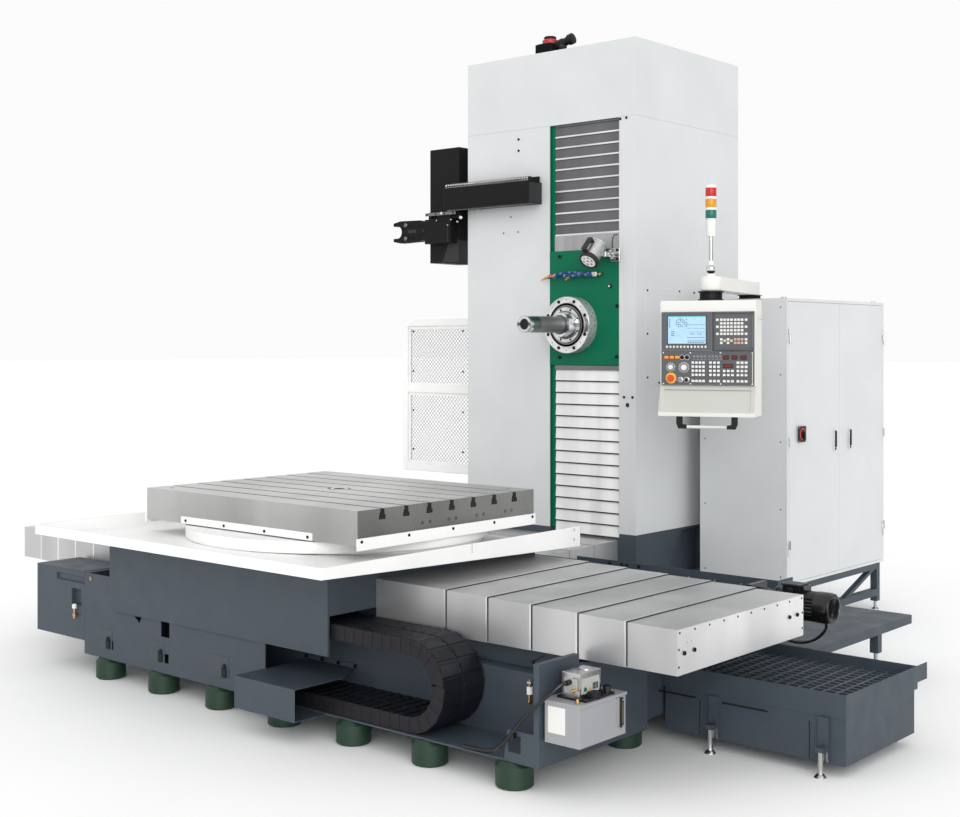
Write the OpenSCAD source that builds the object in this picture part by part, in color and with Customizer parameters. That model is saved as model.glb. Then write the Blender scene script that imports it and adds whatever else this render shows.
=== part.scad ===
// CNC horizontal boring and milling machine with a rotary table.
// +X runs along the table bed, +Y towards the column, +Z is up.
// The origin lies on the floor, at the centre of the table bed's middle foot.

/* [Levelling feet] */
// Diameter of a levelling foot
foot_d = 170; // [140:5:190]
// Height of a levelling foot
foot_h = 120; // [100:5:140]
// Distance between feet along a bed
foot_pitch = 506; // [460:2:510]

/* [Table bed] */
// Left end of the table bed, measured from the middle foot
bed_left = 1670; // [1640:5:1700]
// Right end of the table bed, measured from the middle foot
bed_right = 1605; // [1600:5:1660]
// Width of the table bed over its shelves
bed_w = 1780; // [1740:5:1800]
// Width of the bed's central casting
bed_body_w = 1180; // [1170:2:1190]
// Thickness of the shelf beside the casting
shelf_t = 10; // [8:1:16]
// Height of the casting above the shelf
bed_body_h = 300; // [280:5:320]
// Distance between the centres of the two ways
way_span = 850; // [800:5:880]
// Width of one way
way_w = 130; // [100:5:150]
// Height of the ways above the floor
way_top = 606; // [596:1:616]
// Running gap between a slide and its way
slide_gap = 0.5; // [0.3:0.1:0.9]

/* [Telescopic way covers] */
// Outer width of the narrowest cover segment
cover_w = 1105; // [1080:5:1120]
// Height of the narrowest segment's top above the floor
cover_top = 725; // [710:1:735]
// Height of the covers' lower edge above the floor
cover_bottom = 530; // [500:5:535]
// Length of one cover segment
cover_l = 470; // [460:2:480]
// Sheet thickness of the covers
cover_t = 2; // [1:0.5:3]
// Growth from one segment to the next
cover_step = 5; // [4:0.5:5.5]
// Right end of the covers
cover_right = 2178; // [2150:2:2200]
// Left end of the covers
cover_left = 2912; // [2880:2:2940]

/* [Saddle and tray] */
// Centre of the saddle on the bed
saddle_x = -505; // [-520:1:-490]
// Length of the saddle along the bed
saddle_l = 1824; // [1790:2:1850]
// Reach of the saddle's front apron from the bed's centre line
apron_y = 910; // [905:1:930]
// Sheet thickness of the apron
apron_t = 14; // [8:1:14]
// Lower edge of the apron above the floor
apron_bottom = 412; // [360:2:440]
// Reach of the saddle behind the bed's centre line
saddle_rear = 700; // [680:2:710]
// Length of the splash tray along the bed
tray_l = 2380; // [2340:5:2420]
// Reach of the tray in front of the bed's centre line
tray_front = 1233; // [1220:1:1250]
// Reach of the tray behind the bed's centre line
tray_rear = 722; // [716:1:730]
// Height of the tray's rim above the floor
tray_rim = 914; // [910:1:916]
// Height of the tray floor's front edge
tray_floor_front = 858; // [850:1:866]
// Height of the tray floor's rear edge
tray_floor_rear = 800; // [796:1:806]
// Sheet thickness of the tray
tray_t = 4; // [3:0.5:6]

/* [Rotary table] */
// Centre of the rotary table along the bed
table_x = -477; // [-490:1:-465]
// Length of the table along the bed
table_l = 1750; // [1740:5:1800]
// Width of the table across the bed
table_w = 1400; // [1360:5:1440]
// Height of the table's top face
table_top = 1100; // [1080:2:1102]
// Thickness of the table
table_t = 178; // [150:2:180]
// Number of T-slots
slot_n = 7; // [5:2:7]
// Distance between T-slots
slot_pitch = 175; // [160:5:180]
// Throat width of a T-slot
slot_w = 22; // [18:1:28]
// Width of the wide part of a T-slot
slot_head_w = 37; // [32:1:46]
// Depth of a T-slot's throat
slot_neck = 22; // [18:1:28]
// Height of the wide part of a T-slot
slot_head_h = 16; // [12:1:20]
// Diameter of the centring bore
centre_bore_d = 80; // [60:5:100]
// How far the round housing stays inside the table's ends
drum_inset = 7; // [4:1:20]
// Height of the rotary housing's top above the floor
drum_top = 915; // [908:1:917]

/* [Cable carrier] */
// Width of one of the two chains
chain_w = 139; // [120:1:140]
// Height of a chain link
chain_h = 77; // [64:1:80]
// Bend radius at the middle of a link
chain_r = 180.5; // [170:0.5:182]
// Right end of the chain's bend
chain_reach = 1146; // [1080:2:1150]
// Length of one chain link
link_l = 46; // [36:2:60]

/* [Column bed] */
// Centre of the column along the table bed
column_x = -592.5; // [-600:0.5:-585]
// Front end of the column bed's ways
zbed_front = 1062; // [1060:1:1070]
// Rear end of the column bed
zbed_rear = 4250; // [4200:10:4300]
// Width of the column bed's base
zbed_w = 1400; // [1360:5:1420]
// Height of the column bed's ways above the floor
zway_top = 470; // [450:2:480]
// Distance between the centres of the column bed's ways
zway_span = 880; // [840:5:900]
// Outer width of the column bed's covers at the column
zcover_w = 1185; // [1170:5:1200]
// Height of the column bed's covers at the column
zcover_top = 620; // [600:2:630]

/* [Column] */
// Distance from the table axis to the column's front face
column_front = 2090; // [2080:1:2100]
// Depth of the column
column_depth = 1313; // [1280:1:1340]
// Width of the column
column_w = 1481; // [1470:1:1490]
// Height of the joint between column and column saddle
column_base = 667; // [650:1:680]
// Height of the column's top
column_top = 3969; // [3900:1:4000]
// Sheet thickness of the column's covers
sheet_t = 5; // [3:0.5:6]
// Height of the opening's upper end
opening_top = 3448; // [3420:1:3460]
// Left edge of the opening
opening_left = -573; // [-580:1:-570]
// Right edge of the opening
opening_right = 12; // [6:1:16]
// Width of the painted guide strip left of the slats
strip_w = 40; // [30:1:50]
// Slats above the headstock
upper_slats = 10; // [8:1:12]
// Slats below the headstock
lower_slats = 14; // [10:1:16]
// Depth of one slat's step
slat_step = 8; // [5:1:9]

/* [Headstock and spindle] */
// Spindle axis along the table bed
spindle_x = -360; // [-364:1:-356]
// Spindle axis above the floor
spindle_z = 2064; // [2050:1:2080]
// Lower edge of the headstock
head_bottom = 1790; // [1780:1:1800]
// Upper edge of the headstock
head_top = 2575; // [2560:1:2590]
// Height of the grey plate above the headstock
head_plate_h = 105; // [90:1:115]
// Diameter of the headstock flange
flange_d = 385; // [376:1:390]
// Thickness of the headstock flange
flange_t = 88; // [80:1:96]
// Bolts in the headstock flange
flange_bolts = 12; // [8:2:16]
// Bolt circle of the headstock flange
flange_pcd = 334; // [320:1:340]
// Diameter of a hole in the headstock flange
flange_hole_d = 17; // [13:1:20]
// Diameter of the milling spindle's nose
nose_d = 240; // [220:1:250]
// Diameter of the boring spindle
bore_spindle_d = 110; // [100:1:120]
// Reach of the boring spindle in front of the flange
spindle_reach = 454; // [430:1:470]
// Radial clearance of the boring spindle in the milling spindle
spindle_fit = 0.05; // [0.02:0.01:0.09]

/* [Tool changer] */
// Left end of the tool changer's housing
atc_left = -1710; // [-1720:1:-1700]
// Width of the tool changer's housing
atc_w = 290; // [270:1:300]
// Upper end of the housing
atc_top = 3384; // [3360:1:3400]
// Lower end of the housing
atc_bottom = 2538; // [2530:1:2560]
// Right end of the tool changer's beam
beam_right = -640; // [-670:1:-630]
// Lower edge of the beam
beam_bottom = 2910; // [2900:1:2916]
// Height of the beam
beam_h = 150; // [140:1:160]
// Depth of the beam
beam_d = 148; // [130:1:150]

/* [Control cabinet] */
// Left side of the cabinet
cabinet_x = 296; // [290:1:310]
// Front side of the cabinet
cabinet_y = 2645; // [2640:1:2660]
// Width of the cabinet
cabinet_w = 660; // [640:5:700]
// Length of the cabinet
cabinet_l = 1448; // [1420:2:1470]
// Height of the cabinet's underside above the floor
cabinet_z = 346; // [330:1:360]
// Height of the cabinet
cabinet_h = 1889; // [1860:1:1900]
// Thickness of a cabinet door
door_t = 24; // [18:1:30]

/* [Pendant] */
// Angle of the pendant about its swivel
pendant_yaw = 20; // [10:1:30]
// Width of the pendant
pendant_w = 584; // [576:2:600]
// Height of the pendant
pendant_h = 702; // [690:2:712]
// Depth of the pendant
pendant_d = 200; // [180:2:220]
// Width of the control panels
panel_w = 566; // [552:2:572]
// Length of the pendant's arm between its two swivels
arm_l = 935; // [900:5:960]
// Angle of the arm away from the front
arm_angle = 15.5; // [12:0.5:20]

/* [Chip and coolant system] */
// Axis of the chip auger behind the bed's centre line
auger_y = 840; // [836:1:846]
// Axis of the chip auger above the floor
auger_z = 616; // [612:1:620]
// Diameter of the chip auger
auger_d = 140; // [120:2:150]
// Height of the splash wall's top
wall_top = 684; // [676:1:690]
// Right end of the catch tank
tank_right = 2578; // [2560:2:2600]
// Height of the catch tank's rim
tank_top = 373; // [365:1:380]
// Right end of the side tray
side_right = 1970; // [1950:2:1990]

/* [Hidden] */
$fn = 48;
eps = 1;              // overrun of a cut through a surface
seat = 0.3;           // gap between a piece and what it only rests on

// Colours
casting = "#454d55";
white_paint = "#d9dcdc";
green_paint = "#03704a";
foot_green = "#1f4a36";
steel = "#b9bbbd";
dark_steel = "#6b6e70";
black_paint = "#1b1c1e";
ivory = "#e4e5df";
panel_grey = "#55575b";

// Table bed
shelf_top = foot_h + shelf_t;
deck = shelf_top + bed_body_h;
beam_z = way_top - 66;
half_bed = bed_w / 2;
half_body = bed_body_w / 2;
way_in = way_span / 2 - way_w / 2;
way_out = way_span / 2 + way_w / 2;
end_wall_t = 30;
front_end = bed_left + end_wall_t;
end_wall_rear = -66;
skirt_t = 8;
screw_d = 63;
screw_z = deck + 70;
foot_row = half_bed - 60;

// Saddle, tray and table
saddle_left = saddle_x - saddle_l / 2;
saddle_right = saddle_x + saddle_l / 2;
saddle_bottom = way_top + slide_gap;
tray_left = table_x + 2 - tray_l / 2;
tray_right = table_x + 2 + tray_l / 2;
table_bottom = table_top - table_t;
drum_d = table_l - 2 * drum_inset;
drum_seat = tray_floor_rear - 10;
function floor_z(y) = tray_floor_front
    + (y + tray_front) * (tray_floor_rear - tray_floor_front) / (tray_front + tray_rear);

// Way covers: the right-hand and left-hand pitches follow from where their ends are
segments = 6;
wiper_l = 15;
pitch_right = (cover_right - saddle_right - cover_l) / (segments - 1);
pitch_left = (cover_left + saddle_left - cover_l) / (segments - 1);

// Cable carrier
chain_y = half_body + 10;
chain_low = shelf_top + seat + chain_h / 2;
chain_mid = chain_low + chain_r;
chain_high = chain_mid + chain_r;
bend_x = chain_reach - chain_r - chain_h / 2;
chain_start = 0;
chain_end = -100;
box_left = -80;
box_right = 370;
box_front = 1090;
box_top = foot_h + 160;

// Column bed and column
column_left = column_x - column_w / 2;
column_right = column_x + column_w / 2;
column_rear = column_front + column_depth;
zbed_deck = 300;
zscrew_z = 385;
frame_front = column_front + 20;
notch_z = column_base - 36;
frame_rear = column_rear - 33;
slot_left = opening_left + strip_w;
slot_right = opening_right + 2;
slot_rear = frame_rear - 70;
head_front = column_front - 2;
plate_t = 20;
head_depth = 790;
spindle_bore_d = 200;
flange_front = head_front - flange_t;
nose_front = flange_front - 70;
spindle_tip = flange_front - spindle_reach;
plate_top = head_top + head_plate_h;

// Tool changer
atc_right = atc_left + atc_w;
beam_front = column_front - beam_d;
carriage_d = 66;

// Cabinet
cabinet_right = cabinet_x + cabinet_w;
cabinet_rear = cabinet_y + cabinet_l;
cabinet_top = cabinet_z + cabinet_h;
cabinet_t = 3;
post_w = 20;
door_gap = 2;
door_split = cabinet_y + cabinet_l / 2 + 20;
hinge_r = 6;
knuckle_h = 40;
hinge_x = cabinet_right + hinge_r + door_gap;
hinge_front = cabinet_y + post_w + door_gap / 2;
hinge_rear = cabinet_rear - post_w - door_gap / 2;
switch_y = cabinet_y + 178;
switch_z = cabinet_z + 992;

// Pendant, in a frame of its own whose origin is the top of the case on the swivel
swivel_x = cabinet_x + 330;
swivel_y = cabinet_y + 95;
hang_x = swivel_x + arm_l * sin(arm_angle);
hang_y = swivel_y - arm_l * cos(arm_angle);
coupling_h = 27;
arm_h = 83;
arm_z = cabinet_top + coupling_h;
pendant_top = arm_z - 65;
panel_face = -pendant_d / 2 - 4;

// Chip and coolant system
trough_r = auger_d / 2 + 14;
trough_t = 4;
trough_left = -bed_left;
trough_right = 1750;
rear_wall_y = half_body + 20;
wing_z = saddle_bottom - 20;
wall_y = zbed_front - 20;
wall_left = 450;
wall_right = 1774;
tank_left = bed_right + seat;
tank_front = 192;
tank_rear = 950;
tank_rim_h = 110;
tank_floor = 55;
screw_foot_d = 22;

// A block between two corners, given as ranges along X, Y and Z
module block(x, y, z)
    translate([x[0], y[0], z[0]]) cube([x[1] - x[0], y[1] - y[0], z[1] - z[0]]);

// Flat outlines drawn in (Y, Z), (X, Z) and (X, Y), and drawn out along the third axis
module along_x(x0, x1) translate([x0, 0, 0]) rotate([90, 0, 90]) linear_extrude(x1 - x0) children();
module along_y(y0, y1) translate([0, y1, 0]) rotate([90, 0, 0]) linear_extrude(y1 - y0) children();
module along_z(z0, z1) translate([0, 0, z0]) linear_extrude(z1 - z0) children();

// Round bars along each axis
module bar_x(x0, x1, y, z, d) translate([x0, y, z]) rotate([0, 90, 0]) cylinder(d = d, h = x1 - x0);
module bar_y(x, y0, y1, z, d) translate([x, y0, z]) rotate([-90, 0, 0]) cylinder(d = d, h = y1 - y0);
module bar_z(x, y, z0, z1, d) translate([x, y, z0]) cylinder(d = d, h = z1 - z0);

// A copy on each side of the bed's centre plane
module both_sides() {
    children();
    mirror([0, 1, 0]) children();
}

// A copy on each side of the column's centre plane
module both_column_sides() {
    translate([column_x, 0, 0]) {
        children();
        mirror([1, 0, 0]) children();
    }
}

// A screw foot that stands on the floor and carries a leg
module screw_foot(x, y, top) {
    translate([x, y, 0]) cylinder(d1 = screw_foot_d * 2.6, d2 = screw_foot_d * 1.6, h = 14);
    bar_z(x, y, 13, top, screw_foot_d);
}

// Points on a smooth curve through a list of points
function curve_point(p, i, t) = let(a = p[max(i - 1, 0)], b = p[i], c = p[i + 1],
    d = p[min(i + 2, len(p) - 1)]) 0.5 * (2 * b + (c - a) * t
    + (2 * a - 5 * b + 4 * c - d) * t * t + (3 * b - a - 3 * c + d) * t * t * t);
function curve(p, steps) = concat(
    [for (i = [0:len(p) - 2], k = [0:steps - 1]) curve_point(p, i, k / steps)], [p[len(p) - 1]]);

// A tube along a route, as one closed mesh
module tube(route, d, sides = 8) {
    n = len(route);
    rings = [for (i = [0:n - 1]) let(
        way = route[min(i + 1, n - 1)] - route[max(i - 1, 0)], ahead = way / norm(way),
        side = cross(ahead, [0.13, 0.2, 1]) / norm(cross(ahead, [0.13, 0.2, 1])),
        up = cross(side, ahead))
        for (k = [0:sides - 1]) route[i]
            + d / 2 * (cos(360 * k / sides) * side + sin(360 * k / sides) * up)];
    walls = [for (i = [0:n - 2], k = [0:sides - 1])
        [i * sides + k, i * sides + (k + 1) % sides, (i + 1) * sides + (k + 1) % sides,
            (i + 1) * sides + k]];
    ends = [[for (k = [sides - 1:-1:0]) k], [for (k = [0:sides - 1]) (n - 1) * sides + k]];
    polyhedron(rings, concat(walls, ends));
}

// ---------------------------------------------------------------- table bed

bed_core_n = 6;
bed_rib = 30;
hatch_pitch = 521;
hatch_x = -1480;

module bed_end_outline() polygon([[-half_bed, foot_h], [end_wall_rear, foot_h],
    [end_wall_rear, cover_bottom - 12], [-half_body - 12, cover_bottom - 12],
    [-half_body - 12, cover_bottom + 35], [-half_bed, cover_bottom + 35]]);

module x_bed() color(casting) difference() {
    union() {
        block([-bed_left, bed_right], [-half_bed, half_bed], [foot_h, shelf_top]);
        block([-bed_left, bed_right], [-half_body, half_body], [shelf_top, deck]);
        both_sides() {
            block([-cover_left + cover_t, cover_right - cover_t], [way_in, way_out],
                [beam_z, way_top]);
            block([-bed_left, bed_right], [way_in, way_out], [deck, beam_z]);
        }
        block([-bed_left, bed_right], [rear_wall_y, rear_wall_y + skirt_t], [shelf_top, wing_z]);
        block([-bed_left, box_left], [-half_bed, -half_bed + skirt_t], [shelf_top, way_top - 10]);
        block([bed_right, bed_left], [-half_bed, end_wall_rear], [foot_h, shelf_top]);
        along_x(bed_left, front_end) bed_end_outline();
        block([bed_right, bed_left], [-half_body, -half_body + bed_rib], [shelf_top, deck]);
        block([bed_right, bed_left], [end_wall_rear - bed_rib, end_wall_rear], [shelf_top, deck]);
        along_y(-half_bed, -half_bed + skirt_t) polygon([[bed_left - 165, shelf_top],
            [bed_left, shelf_top], [bed_left, shelf_top + 130], [bed_left - 145, shelf_top + 130]]);
        along_x(-front_end, -bed_left) polygon([[-half_bed, foot_h], [half_bed, foot_h],
            [half_bed, foot_h + 180], [half_body, cover_bottom - 12],
            [-half_body - 12, cover_bottom - 12], [-half_body - 12, way_top - 10],
            [-half_bed, way_top - 10]]);
    }
    bed_cores();
    for (i = [0:2]) block([hatch_x + i * hatch_pitch + 25, hatch_x + i * hatch_pitch + 70],
        [-half_bed - eps, -half_bed + skirt_t + eps], [foot_h + 60, foot_h + 110]);
    block([hatch_x + hatch_pitch, hatch_x + hatch_pitch + 76],
        [-half_bed - eps, -half_bed + skirt_t + eps], [foot_h + 201, foot_h + 287]);
    along_y(-half_bed - eps, -half_bed + skirt_t + eps) polygon([[hatch_x + 274, foot_h + 282],
        [hatch_x + 341, foot_h + 282], [hatch_x + 322, foot_h + 246]]);
    block([bed_left - 140, bed_left - 70], [-half_bed - eps, -half_bed + skirt_t + eps],
        [shelf_top + 35, shelf_top + 110]);
}

// Hollows of the bed casting, open underneath
module bed_cores() {
    core_l = (bed_left + bed_right) / bed_core_n;
    for (i = [0:bed_core_n - 1]) {
        x0 = -bed_left + i * core_l + bed_rib;
        for (y = [-half_body, bed_rib / 2]) {
            block([x0, x0 + core_l - 2 * bed_rib], [y + bed_rib, y + half_body - bed_rib],
                [foot_h - eps, deck - bed_rib]);
        }
    }
}

function centred(n, pitch) = [for (i = [0:n - 1]) (i - (n - 1) / 2) * pitch];
zfoot_first = zbed_front + 110;
zfeet = [for (i = [0:floor((zbed_rear - zfoot_first - foot_d) / foot_pitch)])
    zfoot_first + i * foot_pitch];

module levelling_foot() rotate_extrude() polygon([[0, 0], [foot_d / 2 - 8, 0], [foot_d / 2, 8],
    [foot_d / 2, foot_h - 22], [foot_d / 2 - 18, foot_h], [0, foot_h]]);

module levelling_feet() color(foot_green) {
    for (x = centred(7, foot_pitch), y = [-foot_row, 0, foot_row])
        translate([x, y, 0]) levelling_foot();
    for (y = zfeet, x = [-1, 0, 1])
        translate([column_x + x * (zbed_w / 2 - 90), y, 0]) levelling_foot();
}

screw_block_l = 60;

module feed_screws() color(steel) {
    x0 = -bed_left + 60;
    x1 = bed_right - 60;
    bar_x(x0, x1, 0, screw_z, screw_d);
    for (x = [x0 + 20, x1 - 20 - screw_block_l]) difference() {
        block([x, x + screw_block_l], [-80, 80], [deck, screw_z + 60]);
        bar_x(x - eps, x + screw_block_l + eps, 0, screw_z, screw_d + 0.2);
    }
    y0 = zbed_front + 60;
    y1 = zbed_rear - 60;
    bar_y(column_x, y0, y1, zscrew_z, screw_d);
    for (y = [y0 + 20, y1 - 20 - screw_block_l]) difference() {
        block([column_x - 80, column_x + 80], [y, y + screw_block_l], [zbed_deck, zscrew_z + 60]);
        bar_y(column_x, y - eps, y + screw_block_l + eps, zscrew_z, screw_d + 0.2);
    }
}

end_box_left = -2205;
end_box_bottom = 195;

module bed_end_box() color(casting) difference() {
    union() {
        block([end_box_left, -front_end], [-half_bed, -half_body], [end_box_bottom, way_top - 6]);
        block([end_box_left, -front_end], [-half_body, 300], [end_box_bottom, cover_bottom - 12]);
    }
    block([end_box_left + sheet_t, -front_end + eps], [-half_bed + 40, 300 - sheet_t],
        [end_box_bottom + sheet_t, cover_bottom - 12 - sheet_t]);
    block([-1830, -1730], [-half_bed - eps, -half_bed + 30], [395, 490]);
    block([-1990, -front_end + eps], [-half_bed - eps, -half_bed + 12], [528, 566]);
}

// ---------------------------------------------------------------- telescopic covers

// Outline of one cover segment, grown outwards by a distance
module cover_outline(grow) polygon([[-cover_w / 2 - grow, cover_bottom],
    [cover_w / 2 + grow, cover_bottom], [cover_w / 2 + grow, cover_top + grow],
    [-cover_w / 2 - grow, cover_top + grow]]);

module cover_ring(outer, inner) difference() {
    cover_outline(outer);
    difference() {
        cover_outline(inner);
        translate([-cover_w, cover_bottom - 2 * eps]) square([2 * cover_w, eps]);
    }
    translate([-cover_w / 2 - inner, cover_bottom - eps]) square([cover_w + 2 * inner, 2 * eps]);
}

// Segment k of both covers; the first is on the saddle, the last on the bed
module cover_pair(k) color(steel) {
    grow = (segments - k) * cover_step;
    right = saddle_right + (k - 1) * pitch_right;
    left = saddle_left - (k - 1) * pitch_left;
    along_x(right, right + cover_l) cover_ring(grow, grow - cover_t);
    along_x(left - cover_l, left) cover_ring(grow, grow - cover_t);
    if (k < segments) {
        lip = grow - cover_step + seat;
        along_x(right + cover_l - wiper_l, right + cover_l) cover_ring(grow, lip);
        along_x(left - cover_l, left - cover_l + wiper_l) cover_ring(grow, lip);
    } else {
        along_x(cover_right - cover_t, cover_right) cover_outline(0);
        along_x(-cover_left, -cover_left + cover_t) cover_outline(0);
    }
}

module x_covers_1() cover_pair(1);
module x_covers_2() cover_pair(2);
module x_covers_3() cover_pair(3);
module x_covers_4() cover_pair(4);
module x_covers_5() cover_pair(5);
module x_covers_6() cover_pair(6);

// ---------------------------------------------------------------- cable carrier

chains = 2;
chain_gap = 2;

// One straight run of links from x0 to x1, at height z
module chain_run(x0, x1, z) {
    n = ceil((x1 - x0) / link_l);
    l = (x1 - x0) / n;
    for (c = [0:chains - 1]) {
        y = -chain_y - (c + 1) * chain_w - c * chain_gap;
        block([x0, x1], [y + 6, y + chain_w - 6], [z - chain_h / 2 + 6, z + chain_h / 2 - 6]);
        for (i = [0:n - 1]) block([x0 + i * l + 1, x0 + (i + 1) * l - 1], [y, y + chain_w],
            [z - chain_h / 2, z + chain_h / 2]);
    }
    block([x0 + 4, x1 - 4], [-chain_y - chain_w - chain_gap - 7, -chain_y - chain_w + 7],
        [z - 12, z + 12]);
}

// A quarter of the bend, from one angle to another, as wedge-shaped links
module chain_quarter(from) {
    n = 6;
    step = 90 / n;
    inner = chain_r - chain_h / 2;
    outer = chain_r + chain_h / 2;
    for (c = [0:chains - 1]) {
        y = -chain_y - (c + 1) * chain_w - c * chain_gap;
        translate([bend_x, y + chain_w - 6, chain_mid]) rotate([90, 0, 0])
            linear_extrude(chain_w - 12) polygon(concat(
                [for (i = [0:n]) (inner + 6) * [cos(from + i * step), sin(from + i * step)]],
                [for (i = [n:-1:0]) (outer - 6) * [cos(from + i * step), sin(from + i * step)]]));
        for (i = [0:n - 1]) {
            a = from + i * step + 0.3;
            b = from + (i + 1) * step - 0.3;
            translate([bend_x, y + chain_w, chain_mid]) rotate([90, 0, 0])
                linear_extrude(chain_w) polygon([inner * [cos(a), sin(a)],
                    outer * [cos(a), sin(a)], outer * [cos(b), sin(b)], inner * [cos(b), sin(b)]]);
        }
    }
}

module carrier_lower() color(black_paint) {
    chain_run(chain_start, bend_x, chain_low);
    chain_quarter(-90);
}

module carrier_upper() color(black_paint) {
    chain_run(chain_end, bend_x, chain_high);
    chain_quarter(0);
}

box_cut = 115;        // corner cut off the box's lid at the bed

module carrier_box() color(casting) {
    difference() {
        block([box_left, box_right], [-box_front, -half_body], [foot_h, box_top]);
        block([box_left + sheet_t, box_right + eps], [-box_front + sheet_t, -half_body + eps],
            [foot_h + sheet_t, box_top - sheet_t]);
        block([box_left - eps, box_right + eps], [-half_bed, -half_body + eps],
            [foot_h - eps, shelf_top]);
        translate([box_right + eps, eps - half_body, box_top - sheet_t - eps])
            linear_extrude(sheet_t + 2 * eps) polygon([[-box_cut, 0], [0, 0], [0, -1.6 * box_cut]]);
    }
    block([box_left, box_right - 0.6 * box_cut], [-half_body - sheet_t, -half_body],
        [box_top, box_top + 25]);
}

// ---------------------------------------------------------------- saddle, tray and table

nut_l = 180;
clamp_l = 100;

module saddle() color(casting) difference() {
    union() {
        along_x(saddle_left, saddle_right) polygon([[-apron_y, apron_bottom],
            [-apron_y + apron_t, apron_bottom], [-apron_y + apron_t, saddle_bottom],
            [saddle_rear, saddle_bottom], [saddle_rear, floor_z(saddle_rear) - seat],
            [-apron_y, floor_z(-apron_y) - seat]]);
        both_sides() block([saddle_left, saddle_right],
            [way_out + slide_gap, way_out + slide_gap + 26], [beam_z + 6, saddle_bottom]);
        block([table_x - nut_l / 2, table_x + nut_l / 2], [-75, 75],
            [screw_z - 50, saddle_bottom]);
        block([chain_end - clamp_l / 2, chain_end + clamp_l / 2],
            [-chain_y - 2 * chain_w - chain_gap, -chain_y], [chain_high + chain_h / 2,
            saddle_bottom]);
    }
    bar_x(table_x - nut_l, table_x + nut_l, 0, screw_z, screw_d + 1);
    bar_z(table_x, 0, drum_seat, tray_rim, drum_d - 80);
    for (x = [-1, 1]) block([table_x + x * 560 - 240, table_x + x * 560 + 240],
        [-way_in + 40, way_in - 40], [saddle_bottom - eps, drum_seat - 60]);
}

module saddle_tray() color(white_paint) difference() {
    union() {
        along_x(tray_left, tray_right) polygon([[-tray_front, tray_rim],
            [-tray_front, tray_floor_front], [tray_rear, tray_floor_rear],
            [tray_rear, tray_floor_rear + tray_t], [-tray_front + tray_t,
            tray_floor_front + tray_t], [-tray_front + tray_t, tray_rim]]);
        for (x = [tray_left, tray_right - tray_t]) along_x(x, x + tray_t)
            polygon([[-tray_front, tray_rim], [-tray_front, tray_floor_front],
                [tray_rear, tray_floor_rear], [tray_rear, tray_rim]]);
    }
    bar_z(table_x, 0, drum_seat, tray_rim, drum_d - 80);
}

bearing_d = 1040;

module rotary_base() color(white_paint) difference() {
    union() {
        bar_z(table_x, 0, drum_seat, floor_z(-drum_d / 2) + 2 * tray_t, drum_d - 80 - 2 * seat);
        bar_z(table_x, 0, floor_z(-drum_d / 2) + tray_t + 2 * seat, drum_top, drum_d);
        bar_z(table_x, 0, drum_top - eps, table_bottom - slide_gap, bearing_d);
    }
    bar_z(table_x, 0, drum_seat - eps, drum_top + 20, bearing_d - 200);
    bar_z(table_x, 0, drum_seat - eps, table_bottom + eps, centre_bore_d + 120);
}

module t_slot(y) {
    block([table_x - table_l / 2 - eps, table_x + table_l / 2 + eps],
        [y - slot_w / 2, y + slot_w / 2], [table_top - slot_neck - eps, table_top + eps]);
    block([table_x - table_l / 2 - eps, table_x + table_l / 2 + eps],
        [y - slot_head_w / 2, y + slot_head_w / 2],
        [table_top - slot_neck - slot_head_h, table_top - slot_neck]);
}

module rotary_table() color(steel) difference() {
    block([table_x - table_l / 2, table_x + table_l / 2], [-table_w / 2, table_w / 2],
        [table_bottom, table_top]);
    for (y = centred(slot_n, slot_pitch)) t_slot(y);
    bar_z(table_x, 0, table_bottom - eps, table_top + eps, centre_bore_d);
    bar_z(table_x, 0, table_top - slot_neck - slot_head_h - 2, table_top + eps,
        centre_bore_d + 60);
}

skirt_low = 22;
skirt_h = 62;
skirt_front_l = 1090;

module table_skirt() color(white_paint) {
    for (s = [-1, 1]) {
        translate([table_x + s * (table_l / 2 + skirt_t / 2), 0, 0])
            block([-skirt_t / 2, skirt_t / 2], [-table_w / 2 - skirt_t, table_w / 2 + skirt_t],
                [table_bottom - skirt_low, table_bottom - skirt_low + skirt_h]);
        translate([table_x, s * (table_w / 2 + skirt_t / 2), 0])
            block([-skirt_front_l / 2, skirt_front_l / 2], [-skirt_t / 2, skirt_t / 2],
                [table_bottom, table_bottom + skirt_h - skirt_low]);
    }
}

// ---------------------------------------------------------------- column bed and its covers

module z_bed() color(casting) difference() {
    union() {
        block([column_x - zbed_w / 2, column_x + zbed_w / 2], [half_bed, zbed_rear],
            [foot_h, zbed_deck]);
        both_column_sides() block([zway_span / 2 - 60, zway_span / 2 + 60],
            [zbed_front, zbed_rear - cover_t], [zbed_deck, zway_top]);
    }
    zcore_l = (zbed_rear - half_bed - 40) / 7;
    both_column_sides() for (i = [0:6], x = [[50, 300], [340, zbed_w / 2 - 160]])
        block(x, [half_bed + 40 + i * zcore_l, half_bed + (i + 1) * zcore_l],
            [foot_h - eps, zbed_deck - 35]);
}

zsegments = 4;

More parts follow.
